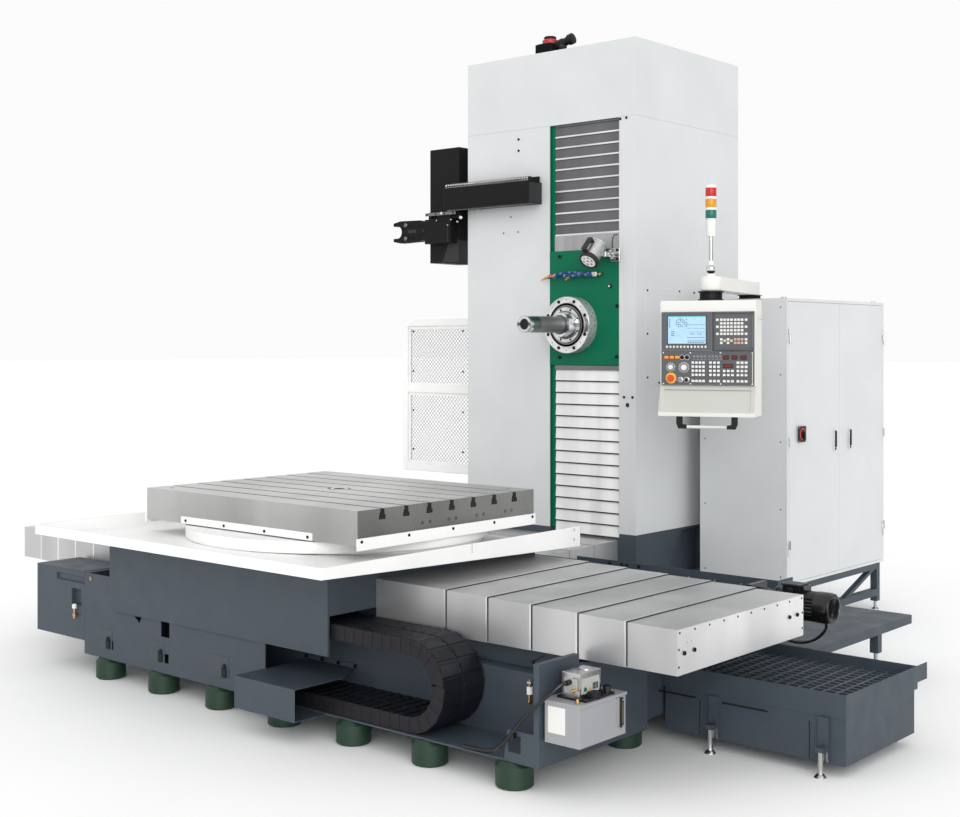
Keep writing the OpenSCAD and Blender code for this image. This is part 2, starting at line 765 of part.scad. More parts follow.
// Stepped covers between y0 at the column and y1 at the bed's end
module z_cover_run(y0, y1) {
    l = (y1 - y0) / zsegments;
    for (k = [0:zsegments - 1]) {
        w = zcover_w - 12 * k;
        top = zcover_top - 6 * k;
        a = min(y0 + k * l, y0 + (k + 1) * l);
        b = max(y0 + k * l, y0 + (k + 1) * l);
        along_y(a, b) translate([column_x, 0]) difference() {
            translate([-w / 2, zway_top - 60]) square([w, top - zway_top + 60]);
            translate([-w / 2 + 9, zway_top - 60 - eps])
                square([w - 18, top - zway_top + 60 - 9 + eps]);
        }
    }
    end_w = zcover_w - 12 * (zsegments - 1);
    along_y(min(y1, y1 + sign(y0 - y1) * cover_t), max(y1, y1 + sign(y0 - y1) * cover_t))
        translate([column_x - end_w / 2, zway_top - 60])
            square([end_w, zcover_top - 6 * (zsegments - 1) - zway_top + 60]);
}

module z_covers() color(steel) {
    z_cover_run(column_front, zbed_front - cover_t);
    z_cover_run(column_rear, zbed_rear);
}

module column_saddle() color(casting) difference() {
    union() {
        block([column_left, column_right], [column_front, column_rear],
            [zway_top + slide_gap, column_base]);
        both_column_sides() block([zbed_w / 2 + 8, column_w / 2], [column_front, column_rear],
            [zbed_deck, zway_top + 2]);
        both_column_sides() block([zway_span / 2 + 60 + slide_gap, zway_span / 2 + 86],
            [column_front, column_rear], [zway_top - 50, zway_top + 2]);
        block([column_x - 75, column_x + 75], [column_front + 500, column_front + 700],
            [zscrew_z - 50, zway_top + 2]);
    }
    bar_y(column_x, column_front, column_rear, zscrew_z, screw_d + 1);
    block([opening_left, opening_right], [column_front - eps, column_front + 34],
        [notch_z, column_base + eps]);
    along_x(column_right - 32, column_right + eps) polygon([[column_front + 560, column_base - 20],
        [column_front + 790, column_base - 20], [column_front + 790, zbed_deck + 60],
        [column_front + 350, zbed_deck + 60]]);
}

// ---------------------------------------------------------------- column

module column_cover() color(white_paint) difference() {
    block([column_left, column_right], [column_front, column_rear], [column_base, column_top]);
    block([column_left + sheet_t, column_right - sheet_t],
        [column_front + sheet_t, column_rear - sheet_t], [column_base - eps, column_top - sheet_t]);
    block([opening_left, opening_right], [column_front - eps, column_front + sheet_t + eps],
        [column_base - eps, opening_top]);
    difference() {
        block([column_left - eps, column_right + eps], [column_front - eps, column_rear + eps],
            [opening_top, opening_top + 3]);
        block([column_left + 1.5, column_right - 1.5], [column_front + 1.5, column_rear - 1.5],
            [opening_top - eps, opening_top + 3 + eps]);
        block([opening_left - eps, opening_right + eps], [column_front - 2 * eps,
            column_front + 2], [opening_top - eps, opening_top + 4]);
    }
    side_hole_z = 1527;
    bar_y((opening_right + column_right) / 2, column_front - eps, column_front + sheet_t + eps,
        side_hole_z, 30);
}

frame_wall = 45;

module column_frame() color(green_paint) difference() {
    block([column_left + 40, column_right - 40], [frame_front, frame_rear],
        [column_base, column_top - 60]);
    block([slot_left, slot_right], [frame_front - eps, slot_rear],
        [column_base - eps, column_top - 60 + eps]);
    block([column_left + 40 + frame_wall, slot_left - frame_wall],
        [frame_front + frame_wall, frame_rear - frame_wall],
        [column_base + frame_wall, column_top + eps]);
}

// A stack of slats from z0 to z1, each leaning outwards to its lower edge
module slat_stack(z0, z1, n) {
    pitch = (z1 - z0) / n;
    face = frame_front - 10;
    along_x(slot_left + slide_gap, opening_right - slide_gap) polygon(concat(
        [[face + slat_step + 8, z1], [face + slat_step + 8, z0]],
        [for (i = [0:n - 1], p = [[face, z0 + i * pitch], [face, z0 + i * pitch + 14],
            [face + slat_step, z0 + i * pitch + 14], [face + slat_step, z0 + (i + 1) * pitch]]) p]));
}

module upper_way_cover() color(dark_steel) slat_stack(plate_top, opening_top, upper_slats);
module lower_way_cover() color(steel) slat_stack(notch_z, head_bottom, lower_slats);

motor_x = -1010;

module y_drive_motor() color(black_paint) {
    block([motor_x, motor_x + 330], [2420, 2640], [column_top, column_top + 90]);
    bar_z(motor_x + 95, 2530, column_top + 90, column_top + 225, 120);
    bar_x(motor_x + 150, motor_x + 320, 2530, column_top + 145, 100);
    block([motor_x + 140, motor_x + 210], [2480, 2580], [column_top + 90, column_top + 150]);
}

cage_left = -2660;
cage_y = 2770;
cage_d = 60;
cage_low = 970;
cage_high = 2140;
cage_tube = 60;

module guard_cage() color(white_paint) {
    mid = (cage_low + cage_high) / 2 + 10;
    difference() {
        block([cage_left, column_left], [cage_y, cage_y + cage_d], [cage_low, cage_high]);
        for (z = [[cage_low + cage_tube, mid - cage_tube / 2], [mid + cage_tube / 2,
            cage_high - cage_tube]]) block([cage_left + cage_tube, column_left - cage_tube],
            [cage_y - eps, cage_y + cage_d + eps], z);
    }
    for (z = [[cage_low + cage_tube, mid - cage_tube / 2], [mid + cage_tube / 2,
        cage_high - cage_tube]]) block([cage_left + cage_tube, column_left - cage_tube],
        [cage_y + cage_d / 2 - 2, cage_y + cage_d / 2 + 2], z);
    block([column_left - 470, column_left], [cage_y, cage_y + cage_d],
        [cage_low - 75, cage_low]);
}

// ---------------------------------------------------------------- headstock and spindle

module headstock() color(green_paint) difference() {
    union() {
        block([opening_left + slide_gap, opening_right - slide_gap],
            [head_front, head_front + plate_t], [head_bottom, head_top]);
        block([slot_left + slide_gap, slot_right - slide_gap],
            [head_front + plate_t - eps, head_front + head_depth], [head_bottom, head_top]);
    }
    bar_y(spindle_x, head_front - eps, head_front + 520, spindle_z, spindle_bore_d + 0.2);
    block([slot_left + 60, slot_right - 60], [head_front + 519, head_front + head_depth + eps],
        [head_bottom + 60, head_top - 60]);
}

module headstock_cover() color(steel) {
    block([slot_left + slide_gap, opening_right - slide_gap],
        [head_front + 6, head_front + plate_t], [head_top, plate_top]);
    block([pivot_x + seat, pivot_x + 16], [pivot_y - 16, head_front], [pivot_z - 14, pivot_z + 14]);
}

module spindle_flange() color(steel) difference() {
    bar_y(spindle_x, flange_front, head_front, spindle_z, flange_d);
    bar_y(spindle_x, flange_front - eps, head_front + eps, spindle_z, nose_d + 4);
    for (i = [0:flange_bolts - 1]) translate([spindle_x, 0, spindle_z])
        rotate([0, (i + 0.5) * 360 / flange_bolts, 0])
            bar_y(flange_pcd / 2, flange_front - eps, flange_front + 40, 0, flange_hole_d);
}

// Nose, shank and bore of the spindle that carries the boring spindle
module milling_spindle() color(steel) difference() {
    translate([spindle_x, nose_front, spindle_z]) rotate([-90, 0, 0]) rotate_extrude($fn = 96)
        polygon([[0, 0], [bore_spindle_d / 2 + 28, 0], [nose_d / 2 - 22, 46],
            [nose_d / 2 - 22, 60], [nose_d / 2, 60],
            [nose_d / 2, head_front - nose_front - seat],
            [spindle_bore_d / 2, head_front - nose_front - seat],
            [spindle_bore_d / 2, head_front - nose_front + 515],
            [0, head_front - nose_front + 515]]);
    bar_y(spindle_x, nose_front - eps, head_front + 520, spindle_z,
        bore_spindle_d + 2 * spindle_fit);
}

taper_d = 69.85;
taper_l = 101;
spindle_tail = 700;

nose_l = taper_l + 12;

// The end with the taper, screwed to the boring spindle's shaft
module spindle_nose() color(dark_steel) difference() {
    union() {
        bar_y(spindle_x, spindle_tip, spindle_tip + nose_l, spindle_z, bore_spindle_d);
        for (s = [-1, 1]) block([spindle_x + s * 45 - 8, spindle_x + s * 45 + 8],
            [spindle_tip - 8, spindle_tip + 4], [spindle_z - 12.5, spindle_z + 12.5]);
    }
    translate([spindle_x, spindle_tip, spindle_z]) rotate([-90, 0, 0]) rotate_extrude($fn = 64)
        polygon([[0, -eps], [taper_d / 2, -eps], [taper_d / 2, 0],
            [taper_d / 2 - taper_l * 7 / 48, taper_l], [0, taper_l]]);
    bar_y(spindle_x, spindle_tip, spindle_tip + nose_l + eps, spindle_z, 25);
}

module boring_spindle() color(dark_steel)
    bar_y(spindle_x, spindle_tip + nose_l, head_front + spindle_tail, spindle_z, bore_spindle_d);

// Work light, which points forwards and down from its bracket
light_x = -112;
light_y = 1974;
light_z = 2545;
light_tilt = 45;
light_d = 100;
light_l = 128;
pivot_x = light_x + light_d / 2 + 8;
pivot_y = light_y + 14;
pivot_z = light_z - 14;

module work_light() color(steel) {
    translate([light_x, light_y, light_z]) rotate([light_tilt, 0, 0]) {
        bar_y(0, -light_l / 2, light_l / 2, 0, light_d);
        bar_y(0, -light_l / 2 - 12, -light_l / 2 + 14, 0, light_d + 12);
        difference() {
            block([-9, 9], [-light_l / 2, light_l / 2 - 30], [light_d / 2 - 4, light_d / 2 + 34]);
            block([-10, 10], [-light_l / 2 + 14, light_l / 2 - 44],
                [light_d / 2, light_d / 2 + 22]);
        }
    }
    bar_x(light_x + light_d / 2 - 20, pivot_x, pivot_y, pivot_z, 26);
}

nozzle_z = 2405;
nozzles = 5;

module coolant_nozzles() color("#2450a8") {
    block([-480, -150], [head_front - 34, head_front], [nozzle_z - 16, nozzle_z + 16]);
    for (i = [0:nozzles - 1]) translate([-465 + i * 72, head_front - 30, nozzle_z])
        rotate([18, 0, 0]) rotate([90, 0, 0]) {
            for (k = [0:4]) translate([0, 0, k * 22]) cylinder(d1 = 20, d2 = 14, h = 22.5);
            translate([0, 0, 109]) cylinder(d1 = 16, d2 = 8, h = 40);
        }
}

// ---------------------------------------------------------------- tool changer

module atc_housing() color(black_paint) difference() {
    along_y(column_front, column_front + 330) polygon([[atc_left, atc_bottom],
        [atc_left + 90, atc_bottom], [atc_right, atc_bottom + 160], [atc_right, atc_top],
        [atc_left, atc_top]]);
    block([atc_left + 8, atc_right - 8], [column_front + 8, column_front + 322],
        [atc_bottom + 170, atc_top - 8]);
}

module atc_beam() color(black_paint) {
    block([atc_right - 18, beam_right], [beam_front, column_front - 6],
        [beam_bottom, beam_bottom + beam_h]);
    block([column_left + 20, beam_right - 20], [column_front - 7, column_front],
        [beam_bottom + 20, beam_bottom + beam_h - 20]);
    block([atc_right - 30, beam_right], [beam_front + 8, beam_front + 80],
        [beam_bottom + beam_h, beam_bottom + beam_h + 10]);
    links = 34;
    pitch = (beam_right - atc_right - 80) / links;
    for (i = [0:links - 1]) block([atc_right - 20 + i * pitch, atc_right - 20 + i * pitch + 15],
        [beam_front + 12, beam_front + 60], [beam_bottom + beam_h + 10, beam_bottom + beam_h + 32]);
    block([atc_right, column_left], [column_front - 7, column_front + 60],
        [beam_bottom + 20, beam_bottom + beam_h - 20]);
}

module atc_carriage() color(black_paint) {
    y0 = column_front - carriage_d - 4;
    y1 = column_front - slide_gap;
    block([atc_left + 10, atc_right - 20], [y0, y1], [atc_bottom + 140, atc_bottom + 320]);
    block([atc_left + 40, atc_right + 60], [y0 + 10, y1 - 10],
        [atc_bottom + 320 - eps, beam_bottom - slide_gap]);
    for (x = [atc_left + 80, atc_right - 20]) bar_y(x, y0 - 14, y0 + 11, beam_bottom - 30, 26);
}

claw_r = 44;
gripper_l = 330;

module atc_gripper() color(black_paint) {
    y0 = column_front - carriage_d;
    x1 = atc_left + 10 - slide_gap;
    x0 = x1 - gripper_l;
    z = atc_bottom + 242;
    along_y(y0, y0 + 55) difference() {
        polygon([[x1, z - 66], [x1, z + 66], [x1 - 60, z + 80], [x0 + 70, z + 84],
            [x0, z + 70], [x0, z + 46], [x0 + 40, z + 46], [x0 + 40, z - 46], [x0, z - 46],
            [x0, z - 70], [x0 + 70, z - 84], [x1 - 60, z - 80]]);
        translate([x0 + 40, z]) circle(r = claw_r + 2);
    }
}

// ---------------------------------------------------------------- control cabinet and stand

module hinge_knuckles(y, dir, zs) for (z = zs) {
    bar_z(hinge_x, y, z, z + knuckle_h, 2 * hinge_r);
    block([cabinet_right - eps, hinge_x], [min(y, y + dir * 15), max(y, y + dir * 15)],
        [z, z + knuckle_h]);
}

hinge_zs = [cabinet_z + 200, cabinet_z + cabinet_h - 280];

module cabinet() color(white_paint) {
    difference() {
        block([cabinet_x, cabinet_right], [cabinet_y, cabinet_rear], [cabinet_z, cabinet_top]);
        block([cabinet_x + cabinet_t, cabinet_right + eps],
            [cabinet_y + post_w, cabinet_rear - post_w],
            [cabinet_z + post_w, cabinet_top - post_w]);
        block([cabinet_x + cabinet_t, cabinet_right - door_t - 4],
            [cabinet_y + cabinet_t, cabinet_rear - cabinet_t],
            [cabinet_z + cabinet_t, cabinet_top - cabinet_t]);
    }
    hinge_knuckles(hinge_front, -1, hinge_zs);
    hinge_knuckles(hinge_rear, 1, hinge_zs);
}

// One door from y0 to y1 with its flush handle at handle_y
module door(y0, y1, handle_y) {
    block([cabinet_right - door_t, cabinet_right], [y0, y1],
        [cabinet_z + post_w + door_gap, cabinet_top - post_w - door_gap]);
    block([cabinet_right - eps, cabinet_right + 14], [handle_y - 14, handle_y + 14],
        [cabinet_z + 854, cabinet_z + 994]);
}

module door_front() color(white_paint) {
    door(cabinet_y + post_w + door_gap, door_split - door_gap / 2, door_split - 90);
    hinge_knuckles(hinge_front, 1, [for (z = hinge_zs) z + knuckle_h + seat]);
    block([cabinet_right - eps, cabinet_right + 3], [switch_y - 38, switch_y + 38],
        [switch_z - 62, switch_z + 38]);
}

module door_rear() color(white_paint) {
    door(door_split + door_gap / 2, cabinet_rear - post_w - door_gap, door_split + 140);
    hinge_knuckles(hinge_rear, -1, [for (z = hinge_zs) z + knuckle_h + seat]);
}

module main_switch() color(black_paint) {
    x = cabinet_right + 3 + seat;
    bar_x(x, x + 12, switch_y, switch_z - 12, 58);
    block([x + 11, x + 34], [switch_y - 7, switch_y + 7], [switch_z - 38, switch_z + 14]);
}

module cabinet_panel() color(steel) {
    x = cabinet_x + cabinet_t;
    block([x, x + 12], [cabinet_y + 80, cabinet_rear - 80], [cabinet_z + 100, cabinet_top - 100]);
    for (i = [0:5], k = [0:1]) block([x + 12, x + 230],
        [cabinet_y + 140 + i * 200, cabinet_y + 270 + i * 200],
        [cabinet_z + 260 + k * 760, cabinet_z + 700 + k * 760]);
}

stand_tube = 50;

module cabinet_stand() color(casting) {
    x0 = cabinet_x + 20;
    x1 = cabinet_right - 20;
    y0 = cabinet_y + 20;
    y1 = cabinet_rear - 20;
    low = 60;
    difference() {
        block([x0, x1], [y0, y1], [cabinet_z - stand_tube, cabinet_z]);
        block([x0 + stand_tube, x1 - stand_tube], [y0 + stand_tube, y1 - stand_tube],
            [cabinet_z - stand_tube - eps, cabinet_z + eps]);
    }
    for (x = [x0, x1 - stand_tube], y = [y0, y1 - stand_tube]) {
        block([x, x + stand_tube], [y, y + stand_tube], [low, cabinet_z - stand_tube + eps]);
        screw_foot(x + stand_tube / 2, y + stand_tube / 2, low + eps);
    }
    for (y = [y0 + 200, y1 - 300]) block([column_x + zbed_w / 2 + seat, x0 + 10],
        [y, y + stand_tube], [low + 80, low + 120]);
    for (x = [x0, x1 - stand_tube]) {
        block([x, x + stand_tube], [y0, y1], [low + 40, low + 90]);
        along_x(x + 5, x + stand_tube - 5) polygon([[y1 - 540, low + 90], [y1 - 470, low + 90],
            [y1 - 60, cabinet_z - stand_tube + eps], [y1 - 130, cabinet_z - stand_tube + eps]]);
    }
}

// ---------------------------------------------------------------- pendant

module at_pendant() translate([hang_x, hang_y, pendant_top]) rotate([0, 0, pendant_yaw])
    children();

arm_w = 130;

module pendant_arm() color(ivory) {
    translate([swivel_x, swivel_y, arm_z + seat]) rotate([0, 0, arm_angle]) difference() {
        union() {
            block([-arm_w / 2, arm_w / 2], [-arm_l, 0], [0, arm_h]);
            cylinder(d = arm_w, h = arm_h);
            translate([0, -arm_l, 0]) cylinder(d = arm_w, h = arm_h);
        }
    }
    bar_z(swivel_x, swivel_y, cabinet_top + seat, arm_z + seat + eps, 100);
    bar_z(hang_x, hang_y, pendant_top + seat, arm_z + seat + eps, 100);
}

tier_h = 62;
tier_d = 62;

module signal_tower() color(white_paint) {
    z0 = arm_z + seat + arm_h;
    bar_z(hang_x, hang_y, z0, z0 + 25, 46);
    translate([hang_x, hang_y, z0 + 44]) sphere(d = 52);
    bar_z(hang_x, hang_y, z0 + 40, z0 + 250, 20);
    bar_z(hang_x, hang_y, z0 + 244, z0 + 350, 52);
    for (i = [0:2]) {
        bar_z(hang_x, hang_y, z0 + 349 + i * (tier_h + 6), z0 + 356 + i * (tier_h + 6), tier_d + 4);
        bar_z(hang_x, hang_y, z0 + 355 + i * (tier_h + 6), z0 + 350 + (i + 1) * (tier_h + 6), tier_d);
    }
    bar_z(hang_x, hang_y, z0 + 350 + 3 * (tier_h + 6) - eps, z0 + 362 + 3 * (tier_h + 6), tier_d + 2);
}

handle_y = -pendant_d / 2 - 22;

// Heights below the top of the case
lcd_top = 68;
lcd_h = 238;
keys_h = 207;
rim = 26;
chin = 62;

module pendant_case() color(ivory) at_pendant() {
    low = lcd_top + lcd_h + keys_h + 4;
    front = -pendant_d / 2;
    difference() {
        along_x(-pendant_w / 2, pendant_w / 2) polygon([[front, 0], [pendant_d / 2, 0],
            [pendant_d / 2, -pendant_h], [front - chin, -pendant_h],
            [front - chin, 24 - pendant_h], [front, -low]]);
        along_x(-pendant_w / 2 + rim, pendant_w / 2 - rim) polygon([[front - eps, -low - 4],
            [front + 8, -low - 4], [front + 8 - chin, 30 - pendant_h],
            [front - chin - eps, 30 - pendant_h]]);
        block([-pendant_w / 2 + 12, pendant_w / 2 - 12], [pendant_d / 2 - 90, pendant_d / 2 - 10],
            [-pendant_h + 12, -12]);
    }
    for (s = [-1, 1]) translate([s * 168, handle_y, -pendant_h])
        along_y(-12, 12) polygon([[-s * 18, eps], [s * 18, eps], [s * 18, -44], [s * 6, -76],
            [-s * 46, -76], [-s * 46, -54], [-s * 18, -48]]);
    bar_x(-130, 130, handle_y, -pendant_h - 65, 20);
}

// A field of keys: columns along X from x0, rows down from z0
module key_field(x0, z0, columns, rows, dx, dz)
    for (i = [0:columns - 1], k = [0:rows - 1])
        block([x0 + i * dx, x0 + i * dx + dx * 0.66], [panel_face - 11, panel_face - 7],
            [z0 - k * dz - dz * 0.62, z0 - k * dz]);

module operator_panel() color(panel_grey) at_pendant() difference() {
    panels();
    bar_y(stop_x, panel_face - 9, 1 - pendant_d / 2, stop_z, stop_d + 1);
}

stop_x = -223;
stop_z = -472;
stop_d = 30;

module panels() {
    block([-panel_w / 2, 34], [panel_face - 8, -pendant_d / 2], [-lcd_top - lcd_h, -lcd_top]);
    block([36, panel_w / 2], [panel_face - 8, -pendant_d / 2], [-lcd_top - lcd_h, -lcd_top]);
    block([-panel_w / 2, panel_w / 2], [panel_face - 8, -pendant_d / 2],
        [-lcd_top - lcd_h - 2 - keys_h, -lcd_top - lcd_h - 2]);
    key_field(90, -lcd_top - 44, 7, 4, 20, 20);
    key_field(90, -lcd_top - 154, 7, 2, 20, 20);
    key_field(-84, -lcd_top - lcd_h - 62, 8, 5, 22.5, 25);
    key_field(104, -lcd_top - lcd_h - 112, 7, 3, 21.5, 25);
}

// A round control on the operator panel, at (x, z) below the case's top
module round_control(x, z, d1, d2, h) translate([x, panel_face - 8 - seat, z]) rotate([90, 0, 0])
    cylinder(d1 = d1, d2 = d2, h = h);

module e_stop() color("#c23b22") at_pendant() {
    round_control(stop_x, stop_z, stop_d, stop_d, 16);
    translate([0, -15, 0]) round_control(stop_x, stop_z, stop_d + 12, stop_d + 6, 14);
}

module feed_dial() color(black_paint) at_pendant() {
    round_control(-143, -407, 34, 34, 7);
    round_control(-143, -407, 28, 28, 16);
    translate([-143, panel_face - 8 - seat, -407]) block([-2, 2], [-20, -15], [-2, 13]);
}

module speed_dial() color(black_paint) at_pendant() {
    round_control(-225, -405, 28, 28, 7);
    round_control(-225, -405, 23, 23, 16);
    translate([-225, panel_face - 8 - seat, -405]) block([-2, 2], [-20, -15], [-2, 10]);
}

// ---------------------------------------------------------------- chips and coolant

module trough_outline() {
    difference() {
        translate([auger_y, auger_z]) circle(r = trough_r + trough_t);
        translate([auger_y, auger_z]) circle(r = trough_r);
        translate([auger_y - trough_r - 2 * trough_t, wing_z + trough_t])
            square([trough_r + 2 * trough_t, 2 * trough_r]);
        translate([auger_y - trough_r, auger_z]) square([2 * trough_r + 2 * trough_t, trough_r + 9]);
    }
    translate([rear_wall_y, wing_z])
        square([auger_y - sqrt(trough_r * trough_r - (auger_z - wing_z) * (auger_z - wing_z))
            - rear_wall_y, trough_t]);
    polygon([[auger_y + trough_r, auger_z - trough_t], [auger_y + trough_r + trough_t,
        auger_z - 2 * trough_t], [wall_y, auger_z + 20 - trough_t], [wall_y, auger_z + 20],
        [auger_y + trough_r, auger_z]]);
}

module chip_trough() color(casting) {
    along_x(trough_left, trough_right) trough_outline();
    block([trough_left, trough_right], [wall_y, wall_y + trough_t], [auger_z - 60, wall_top - 20]);
    block([wall_left, wall_right], [wall_y, wall_y + trough_t], [auger_z - 90, wall_top]);
    block([wall_right - trough_t, wall_right], [wall_y, wall_y + 160], [auger_z - 90, wall_top]);
    block([trough_right - trough_t, trough_right], [auger_y - trough_r - 2,
        auger_y + trough_r + 2], [auger_z - trough_r - 2, auger_z + 58]);
}

flight_pitch = 160;
flight_n = 12;

// Shaft with its flight
module auger() color(dark_steel) {
    x0 = trough_left + 40;
    x1 = trough_right - trough_t - seat;
    bar_x(x0, x1, auger_y, auger_z, 42);
    translate([x0 + 20, auger_y, auger_z]) rotate([0, 90, 0])
        linear_extrude(x1 - x0 - 60, twist = -360 * (x1 - x0 - 60) / flight_pitch,
            slices = floor(flight_n * (x1 - x0 - 60) / flight_pitch), segments = 4, $fn = 4)
                translate([0, -9]) square([auger_d / 2 - 2, 18]);
}

module auger_motor() color(black_paint) {
    x0 = trough_right;
    block([x0, x0 + 24], [auger_y - 84, auger_y + 84], [auger_z - 84, auger_z + 84]);
    bar_x(x0 + 24, x0 + 150, auger_y, auger_z, 120);
    bar_x(x0 + 150, x0 + 370, auger_y, auger_z, 138);
    bar_x(x0 + 370, x0 + 440, auger_y, auger_z, 150);
    block([x0 + 190, x0 + 300], [auger_y - 40, auger_y + 40], [auger_z + 60, auger_z + 100]);
    tube(curve([[x0 + 400, auger_y, auger_z - 60], [x0 + 400, auger_y - 5, auger_z - 110],
        [x0 + 340, auger_y - 10, auger_z - 165], [x0 + 240, auger_y - 10, auger_z - 190],
        [x0 + 100, auger_y, auger_z - 160], [x0 + 40, auger_y + 10, auger_z - 83]], 4), 16);
}

module catch_tank() color(casting) {
    rim_low = tank_top - tank_rim_h;
    body_x = [tank_left + 20, tank_right - 4];
    body_y = [tank_front + 4, tank_rear - 30];
    difference() {
        union() {
            block([tank_left, tank_right], [tank_front, tank_rear], [rim_low, tank_top]);
            block(body_x, body_y, [tank_floor, rim_low]);
        }
        block([tank_left + trough_t, tank_right - trough_t],
            [tank_front + trough_t, tank_rear - trough_t], [rim_low + trough_t, tank_top + eps]);
        block([body_x[0] + trough_t, body_x[1] - trough_t],
            [body_y[0] + trough_t, body_y[1] - trough_t], [tank_floor + trough_t, tank_top]);
    }
    block([tank_right - trough_t, tank_right], [tank_rear - eps, tank_rear + 110],
        [rim_low + 30, tank_top]);
    for (x = [tank_left + 300, tank_right - 105]) {
        block([x - 25, x + 25], [tank_front - 14, tank_front + 5], [tank_floor + 10, rim_low]);
        screw_foot(x, tank_front - 40, tank_floor + 60);
        block([x - 20, x + 20], [tank_front - 56, tank_front - 13],
            [tank_floor + 58, tank_floor + 80]);
        screw_foot(x, tank_rear - 60, tank_floor + eps);
    }
}

// Bearers along the tank, with bars laid across them
module tank_grate() color(casting) {
    x = [tank_left + trough_t + seat, tank_right - trough_t - seat];
    y = [tank_front + trough_t + seat, tank_rear - trough_t - seat];
    z0 = tank_top - tank_rim_h + trough_t;
    rib = 14;
    bars = 15;
    bearers = 7;
    for (k = [0:bearers]) let(b = y[0] + k * (y[1] - y[0] - rib) / bearers)
        block(x, [b, b + rib], [z0, z0 + 40]);
    for (i = [0:bars]) let(a = x[0] + i * (x[1] - x[0] - rib) / bars)
        block([a, a + rib], y, [z0 + 40 + seat, z0 + 60]);
}

module side_tray() color(casting) {
    x0 = column_right + 10;
    y0 = 1056;
    y1 = 2270;
    top = 350;
    difference() {
        block([x0, side_right], [y0, y1], [top - 50, top]);
        block([x0 + trough_t, side_right - trough_t], [y0 + trough_t, y1 - trough_t],
            [top - 50 - eps, top - trough_t]);
    }
    for (x = [x0 + 60, side_right - 60], y = [y0 + 200, y1 - 350]) {
        block([x - 25, x + 25], [y - 25, y + 25], [top - 170, top - trough_t]);
        screw_foot(x, y, top - 169);
    }
    for (y = [y0 + 200, y1 - 350]) block([column_x + zbed_w / 2 + seat, x0 + 60],
        [y - 20, y + 20], [zbed_deck - 60, zbed_deck - 10]);
}

lube_x = front_end + 14;
lube_w = 184;
lube_front = -868;
lube_rear = -530;
lube_z = 236;
lube_h = 180;

module lube_tank() color(ivory) {
    difference() {
        block([lube_x, lube_x + lube_w], [lube_front, lube_rear], [lube_z, lube_z + lube_h]);
        block([lube_x + 3, lube_x + lube_w - 3], [lube_front + 3, lube_rear - 3],
            [lube_z + 3, lube_z + lube_h - 3]);
    }
    block([front_end, lube_x], [lube_front + 30, lube_rear - 30], [lube_z + 60, lube_z + 100]);
    block([lube_x + lube_w, lube_x + lube_w + 5], [lube_rear - 75, lube_rear - 50],
        [lube_z + 45, lube_z + 165]);
}

module lube_pump() color(steel) {
    z0 = lube_z + lube_h;
    block([lube_x + 20, lube_x + lube_w - 10], [lube_front + 60, lube_rear - 70], [z0, z0 + 12]);
    block([lube_x + 36, lube_x + 130], [lube_front + 76, lube_rear - 110], [z0 + 12, z0 + 112]);
    bar_y(lube_x + 80, lube_front + 46, lube_front + 77, z0 + 74, 24);
    bar_z(lube_x + 150, lube_rear - 95, z0 + 12, z0 + 40, 36);
    lube_hoses();
}

hose_d = 16;

module lube_hoses() {
    start = [lube_x + 80, lube_front + 46, lube_z + lube_h + 74];
    tube(curve([start, start + [-8, -32, -8], start + [-64, -82, -70], start + [-150, -92, -150],
        start + [-230, -90, -240], start + [-292, -84, -300], [1440, -half_bed, shelf_top + 22],
        [1360, -half_bed, shelf_top + 12], [1270, -half_bed, shelf_top + 10]], 4), hose_d);
    block([bed_left - 114, bed_left - 92], [start[1] - 90, -half_bed - seat],
        [shelf_top + 104, shelf_top + 126]);
}

// ---------------------------------------------------------------- nodes

x_bed();
levelling_feet();
feed_screws();
bed_end_box();
x_covers_6();
carrier_box();
z_bed();
chip_trough();
auger_motor();
catch_tank();
tank_grate();
side_tray();
lube_tank();
lube_pump();
cabinet();
cabinet_stand();
cabinet_panel();
z_covers();
auger();
door_front();
door_rear();
main_switch();
pendant_arm();
signal_tower();
pendant_case();
operator_panel();
e_stop();
feed_dial();
speed_dial();
saddle();
saddle_tray();
rotary_base();
x_covers_1();
x_covers_2();
x_covers_3();
x_covers_4();
x_covers_5();
carrier_lower();
carrier_upper();
rotary_table();
table_skirt();
column_saddle();
column_cover();
column_frame();
upper_way_cover();
lower_way_cover();
y_drive_motor();
atc_housing();
atc_beam();
atc_carriage();
atc_gripper();
guard_cage();
headstock();
headstock_cover();
spindle_flange();
milling_spindle();
spindle_nose();
boring_spindle();
work_light();
coolant_nozzles();
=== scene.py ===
"""Looks of the boring and milling machine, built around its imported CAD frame.

Metres, in the frame of the part: +X along the table bed, +Y towards the column, +Z up.
"""

from itertools import product
from math import cos, dist, pi, radians, sin, sqrt

import bpy
from mathutils import Matrix, Vector


